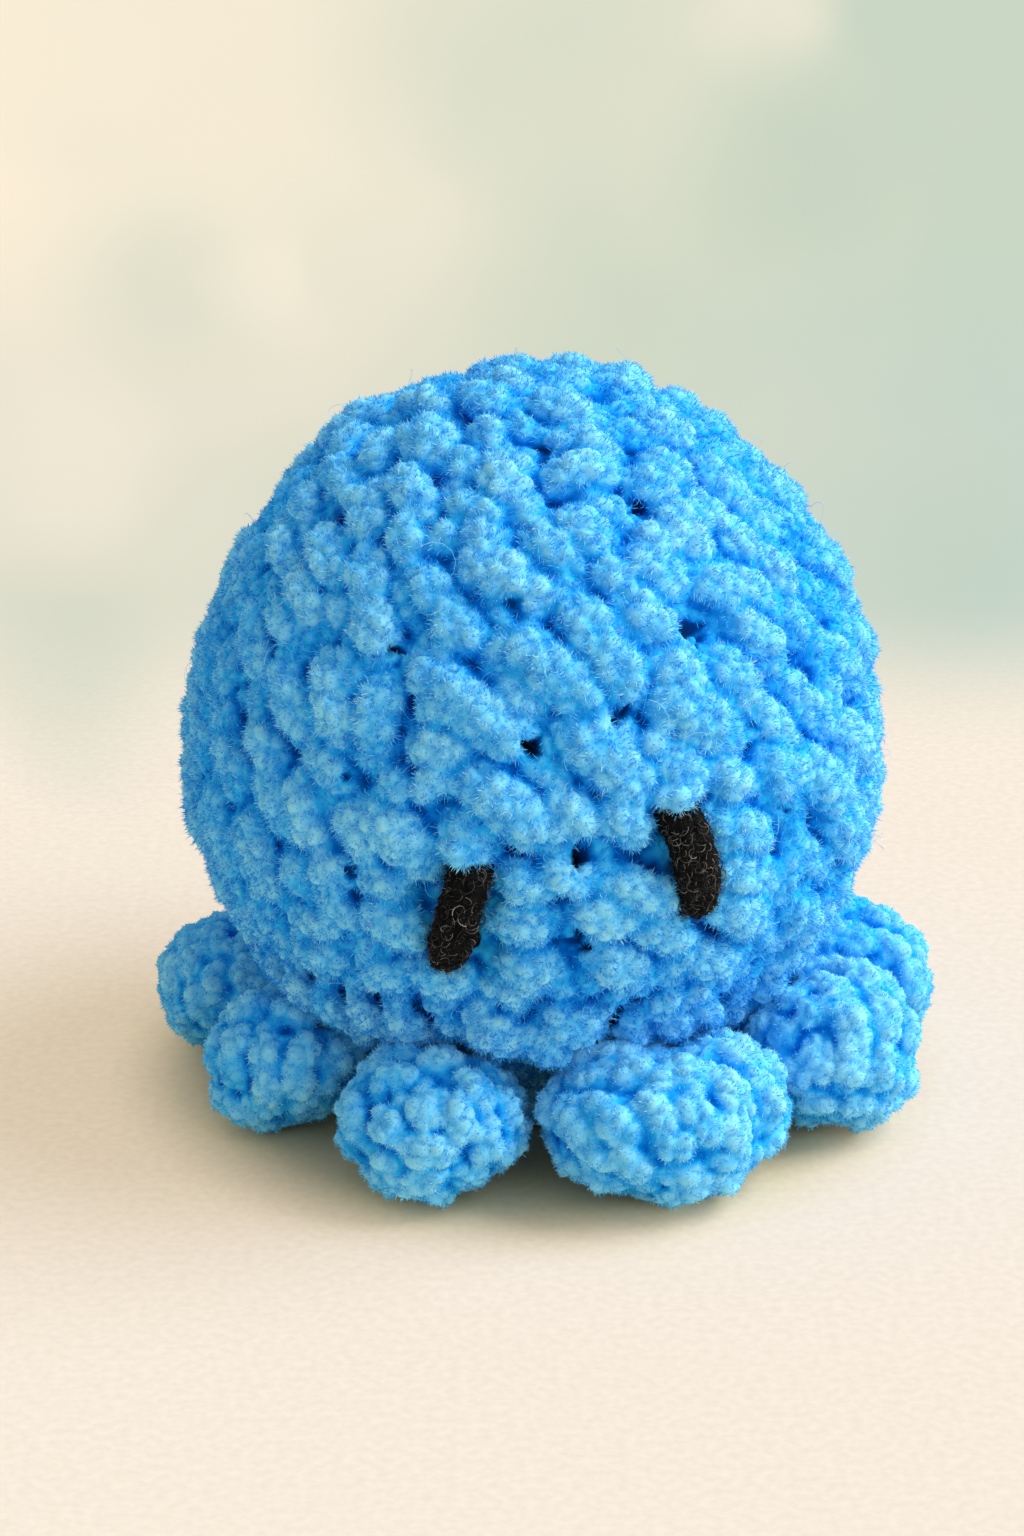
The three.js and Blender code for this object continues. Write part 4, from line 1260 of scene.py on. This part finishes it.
def make_base(yarn, pile):
    low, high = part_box("base_cover")
    strands = flat_strands(low, high)
    points, faces = solid_of("base_cover")
    middle = points.mean(0)
    strands.add_solid(middle + (points - middle) * BASE_CORE, faces)
    base = joined(strands, "base_yarn", LOBE_VOXEL)

    def height(points):
        return -np.minimum(points[:, 2] - low.z / MM, high.z / MM - points[:, 2])

    tufted(base, strands, height, BASE_SEED)
    points = points_of(base.data)
    points[:, 2] = np.maximum(points[:, 2], BASE_LOWEST)
    set_points(base.data, points)
    dress(base, yarn)
    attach(base, "head")
    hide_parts("base_cover")
    share = np.ones(len(points))
    density = FIBRES_PER_MM2 * BASE_PILE
    for piece in pile_on(base, "base_pile", share, density, BASE_PILE_SEED, length=BASE_FIBRE_LENGTH):
        dress(piece, pile)
        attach(piece, "head")


# Eyes

EYE_VOXEL = 0.22
EYE_ROUNDS = 6  # of smoothing
EYE_SWELL = -0.3  # how far the yarn stands out of its solid, under its curls
EYE_TUFT = 0.9
EYE_TUFT_HEIGHT = 0.45
EYE_ROUGH, EYE_ROUGH_SIZE = 0.12, 0.5
EYE_SMOOTHING = 0.3
EYE_BARE = -1.2  # height over the head under which the yarn has no fibres
EYE_CURLS = {
    "seed": 83, "density": 2.3, "width": 0.06, "radius": (0.3, 0.9), "turn": (1.5, 4.5), "lift": (0.1, 0.45),
}
EYE_FUZZ = {"seed": 82, "density": 10, "width": 0.06, "length": (0.35, 0.7), "wild": 1.3}
EYE_SEED, EYE_ROUGH_SEED = 81, 84


def make_eyes(yarn, pile):
    strands = Strands()
    points, faces = solid_of("eye_yarn")
    strands.add_solid(drawn_down(points), faces)
    eyes = joined(strands, "eye_stitches", EYE_VOXEL)
    mesh = eyes.data
    edges = edges_of(mesh)
    points = smoothed(points_of(mesh), edges, EYE_ROUNDS)
    set_points(mesh, points)
    tuft = domed(*cells(points, EYE_TUFT, EYE_SEED)[:2])
    rough = EYE_ROUGH * noise(points, EYE_ROUGH_SIZE, EYE_ROUGH_SEED)
    swollen = EYE_SWELL + EYE_TUFT_HEIGHT * (tuft - 0.5) + rough
    points = smoothed(points + normals_of(mesh) * swollen[:, None], edges, 1, EYE_SMOOTHING)
    set_points(mesh, points)
    shade_smooth(mesh)
    dress(eyes, yarn)
    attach(eyes, "head")
    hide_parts("eye_yarn")
    shown = (over_head(points) > EYE_BARE).astype(float)
    curls = curls_on(eyes, "eye_curls", shown, **EYE_CURLS)
    for piece in pile_on(eyes, "eye_fuzz", shown, **EYE_FUZZ) + [curls]:
        dress(piece, pile)
        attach(piece, "head")


# Stuffing

STUFFING_VOXEL = 0.9
STUFFING_ROUNDS = 3  # of smoothing
STUFFING_LUMPS = (0.35, 4), (0.2, 1.6)  # height and size
LUMPS_LEVEL = 0.25
STUFFING_INSIDE = 0.2  # how far it stays inside its solid, besides its lumps
HEAD_STUFFING_SEED, LOBE_STUFFING_SEED = 91, 92


def make_stuffing(node, name, body, material, seed):
    strands = Strands()
    strands.add_solid(*solid_of(node))
    piece = joined(strands, name, STUFFING_VOXEL)
    mesh = piece.data
    points = smoothed(points_of(mesh), edges_of(mesh), STUFFING_ROUNDS)
    set_points(mesh, points)
    lumps = LUMPS_LEVEL
    for step, (rise, size) in enumerate(STUFFING_LUMPS):
        lumps = lumps + rise * noise(points, size, seed + step)
    set_points(mesh, points - normals_of(mesh) * (lumps + STUFFING_INSIDE)[:, None])
    shade_smooth(mesh)
    dress(piece, material)
    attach(piece, body)
    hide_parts(node)


# Floor and lights


# How much of the table's colour the lamps light, and how much it always glows, as painted light which keeps
# its shadows soft
FLOOR_LIT = (0.36, 0.44, 0.60)
FLOOR_GLOW = (0.58, 0.48, 0.30)
FLOOR_UNDER = (0.85, 0.76, 0.56)  # the lit part under the octopus, where it has no glow, warmer so that the shadow there takes a painted warm tint
FLOOR_DARK = 0.034  # metres from the middle within which it has no glow
FLOOR_BRIGHT = 0.051
PICTURE_FOOT = 0.445  # metres from the middle to the foot of the camera
PICTURE_HEIGHT = 0.217
BLOTCH = 15.0
# Soft patches of the room behind: the pixel of the middle, the radius in pixels, the share and the colour
PATCH_GREEN = paint(186, 206, 187)
PATCH_PALE = paint(250, 240, 220)
PATCHES = [
    (480, 60, 220, 0.35, PATCH_GREEN),
    (790, 170, 170, 0.5, PATCH_GREEN),
    (580, 290, 220, 0.4, PATCH_GREEN),
    (140, 270, 150, 0.32, PATCH_GREEN),
    (60, 670, 190, 0.38, PATCH_GREEN),
    (940, 560, 160, 0.3, PATCH_GREEN),
    (785, 15, 100, 0.5, PATCH_PALE),
    (262, 272, 70, 0.35, PATCH_PALE),
    (50, 470, 130, 0.35, PATCH_PALE),
]
PATCH_UNEVEN = 0.06
FLOOR_END = 0.095  # where the table starts to pass into the room behind
ROOM_START = 0.165
ROOM_LOW, ROOM_HIGH = 0.2, 0.42  # between which the room's lower colours pass into its upper ones
FLOOR_FADES = 0.9  # metres from the middle from where the floor takes the colour of the room, in low views
FLOOR_GONE = 3.0
ROOM_COLOUR = paint(222, 226, 210)
# The colours of the room from left to right, low and high behind the table, and those of the table's grain
SIDE_SHARE, SIDE_UNEVEN = 4.1, 0.8  # how fast they follow each other, and how uneven they are
LOW_STOPS = [(0.0, paint(230, 226, 207)), (0.5, paint(212, 218, 200)), (1.0, paint(197, 213, 200))]
HIGH_STOPS = [
    (0.0, paint(251, 238, 214)),
    (0.45, paint(236, 231, 209)),
    (0.7, paint(214, 220, 200)),
    (1.0, paint(200, 214, 195)),
]
TABLE_STOPS = [(0.3, paint(245, 233, 215)), (0.7, paint(253, 241, 224))]
FLOOR_SIZE = 4000


def make_stage():
    corners = [(-1, -1, 0), (1, -1, 0), (1, 1, 0), (-1, 1, 0)]
    floor = mesh_object("floor", np.array(corners, float) * FLOOR_SIZE, [np.array([[0, 1, 2, 3]])])
    made = Nodes("floor")
    place = made.new("ShaderNodeTexCoord").outputs["Object"]
    parts = made.new("ShaderNodeSeparateXYZ", Vector=place)
    x, y = parts.outputs[0], parts.outputs[1]
    far_off = made.math("ADD", y, PICTURE_FOOT)
    across = made.math("DIVIDE", x, far_off)
    up = made.math("DIVIDE", PICTURE_HEIGHT, far_off)
    seen = made.new("ShaderNodeCombineXYZ", X=across, Y=up).outputs[0]
    cloud = made.new("ShaderNodeTexNoise", Vector=seen, Scale=BLOTCH, Detail=1.5).outputs[0]
    cloud = made.math("SUBTRACT", cloud, 0.5)
    side = made.math("MULTIPLY_ADD", across, SIDE_SHARE, 0.5)
    side = made.math("MULTIPLY_ADD", cloud, SIDE_UNEVEN, side)
    far = made.mix(made.span(y, ROOM_LOW, ROOM_HIGH), made.ramp(side, LOW_STOPS), made.ramp(side, HIGH_STOPS))
    near = made.ramp(made.grain(900.0, 2.0), TABLE_STOPS)
    colour = made.mix(made.span(y, FLOOR_END, ROOM_START), near, far)
    for middle_x, middle_y, reach, share, patch in PATCHES:
        ray = pixel_ray(middle_x, middle_y)
        aside = made.math("SUBTRACT", across, ray[0] / ray[1])
        above = made.math("SUBTRACT", up, -ray[2] / ray[1])
        away = made.math("MULTIPLY_ADD", cloud, PATCH_UNEVEN, made.distance(aside, above))
        soft = made.span(away, reach / FOCAL_PIXELS, 0)
        colour = made.mix(made.math("MULTIPLY", soft, share), colour, patch)
    radius = made.distance(x, y)
    colour = made.mix(made.span(radius, FLOOR_FADES, FLOOR_GONE), colour, ROOM_COLOUR)
    # The glow is painted light on the table, left out under the octopus
    open_floor = made.span(radius, FLOOR_DARK, FLOOR_BRIGHT)
    lit = made.mix(open_floor, (*FLOOR_UNDER, 1), (*FLOOR_LIT, 1))
    glow = made.mix(open_floor, (0, 0, 0, 1), (*FLOOR_GLOW, 1))
    material = made.looks({
        "Base Color": made.mix(1.0, colour, lit, "MULTIPLY"),
        "Emission Color": made.mix(1.0, colour, glow, "MULTIPLY"),
        "Emission Strength": 1,
        "Roughness": 0.95,
        "Specular IOR Level": 0.05,
    })
    dress(floor, material)


# Name, where it shines from, strength and how many degrees wide it is
LAMPS = [
    ("window", (0.7, 0.08, 0.72), 2.47, 40),
    ("wall", (0.92, -0.35, 0.25), 1.55, 100),
]
SKY_STRENGTH = 0.46
SKY_COLOUR = (1.0, 0.99, 0.97, 1)


def make_lights():
    for name, shines_from, strength, width in LAMPS:
        data = bpy.data.lights.new(name, "SUN")
        data.energy = strength
        data.angle = math.radians(width)
        lamp = bpy.data.objects.new(name, data)
        lamp.rotation_mode = "QUATERNION"
        lamp.rotation_quaternion = Vector(shines_from).to_track_quat("Z", "Y")
        bpy.context.scene.collection.objects.link(lamp)
    world = bpy.data.worlds.new("room")
    world.use_nodes = True
    tree = world.node_tree
    sky = tree.nodes["Background"]
    sky.inputs["Color"].default_value = SKY_COLOUR
    sky.inputs["Strength"].default_value = SKY_STRENGTH
    seen = tree.nodes.new("ShaderNodeBackground")
    seen.inputs["Color"].default_value = ROOM_COLOUR
    rays = tree.nodes.new("ShaderNodeLightPath")
    choice = tree.nodes.new("ShaderNodeMixShader")
    tree.links.new(rays.outputs["Is Camera Ray"], choice.inputs[0])
    tree.links.new(sky.outputs[0], choice.inputs[1])
    tree.links.new(seen.outputs[0], choice.inputs[2])
    tree.links.new(choice.outputs[0], tree.nodes["World Output"].inputs["Surface"])
    bpy.context.scene.world = world


bpy.context.scene.view_settings.view_transform = "Standard"
make_camera()
make_stage()
make_lights()

BLUE_STOPS = [
    (0.0, paint(0, 108, 210)),
    (0.3, paint(20, 160, 248)),
    (0.62, paint(92, 206, 255)),
    (0.88, paint(172, 236, 255)),
    (1.0, paint(205, 244, 255)),
]
BLACK_STOPS = [
    (0.0, paint(3, 4, 4)),
    (0.4, paint(18, 19, 20)),
    (0.65, paint(84, 84, 82)),
    (0.9, paint(170, 166, 160)),
]
yarn = yarn_material()
pile = fibre_material("blue_pile", BLUE_STOPS)
fuzz = fibre_material("black_fuzz", BLACK_STOPS)
make_head(yarn, pile)
make_base(yarn, pile)
for number in range(1, TENTACLES + 1):
    make_tentacle(number, yarn, pile)
shine = {"Roughness": 0.9, "Specular IOR Level": 0.12}
black = grained_material("black_yarn", 900.0, paint(3, 3, 4), paint(20, 20, 20), 0.7, 0.0003, **shine)
make_eyes(black, fuzz)
stuffing = grained_material(
    "fibrefill", 500.0, paint(214, 217, 220), paint(248, 249, 250), 0.6, 0.0006, Roughness=1
)
make_stuffing("head_filling", "head_stuffing", "head", stuffing, HEAD_STUFFING_SEED)
for number in range(1, TENTACLES + 1):
    body = f"tentacle_{number}"
    make_stuffing(body + "_filling", body + "_stuffing", body, stuffing, LOBE_STUFFING_SEED + number)
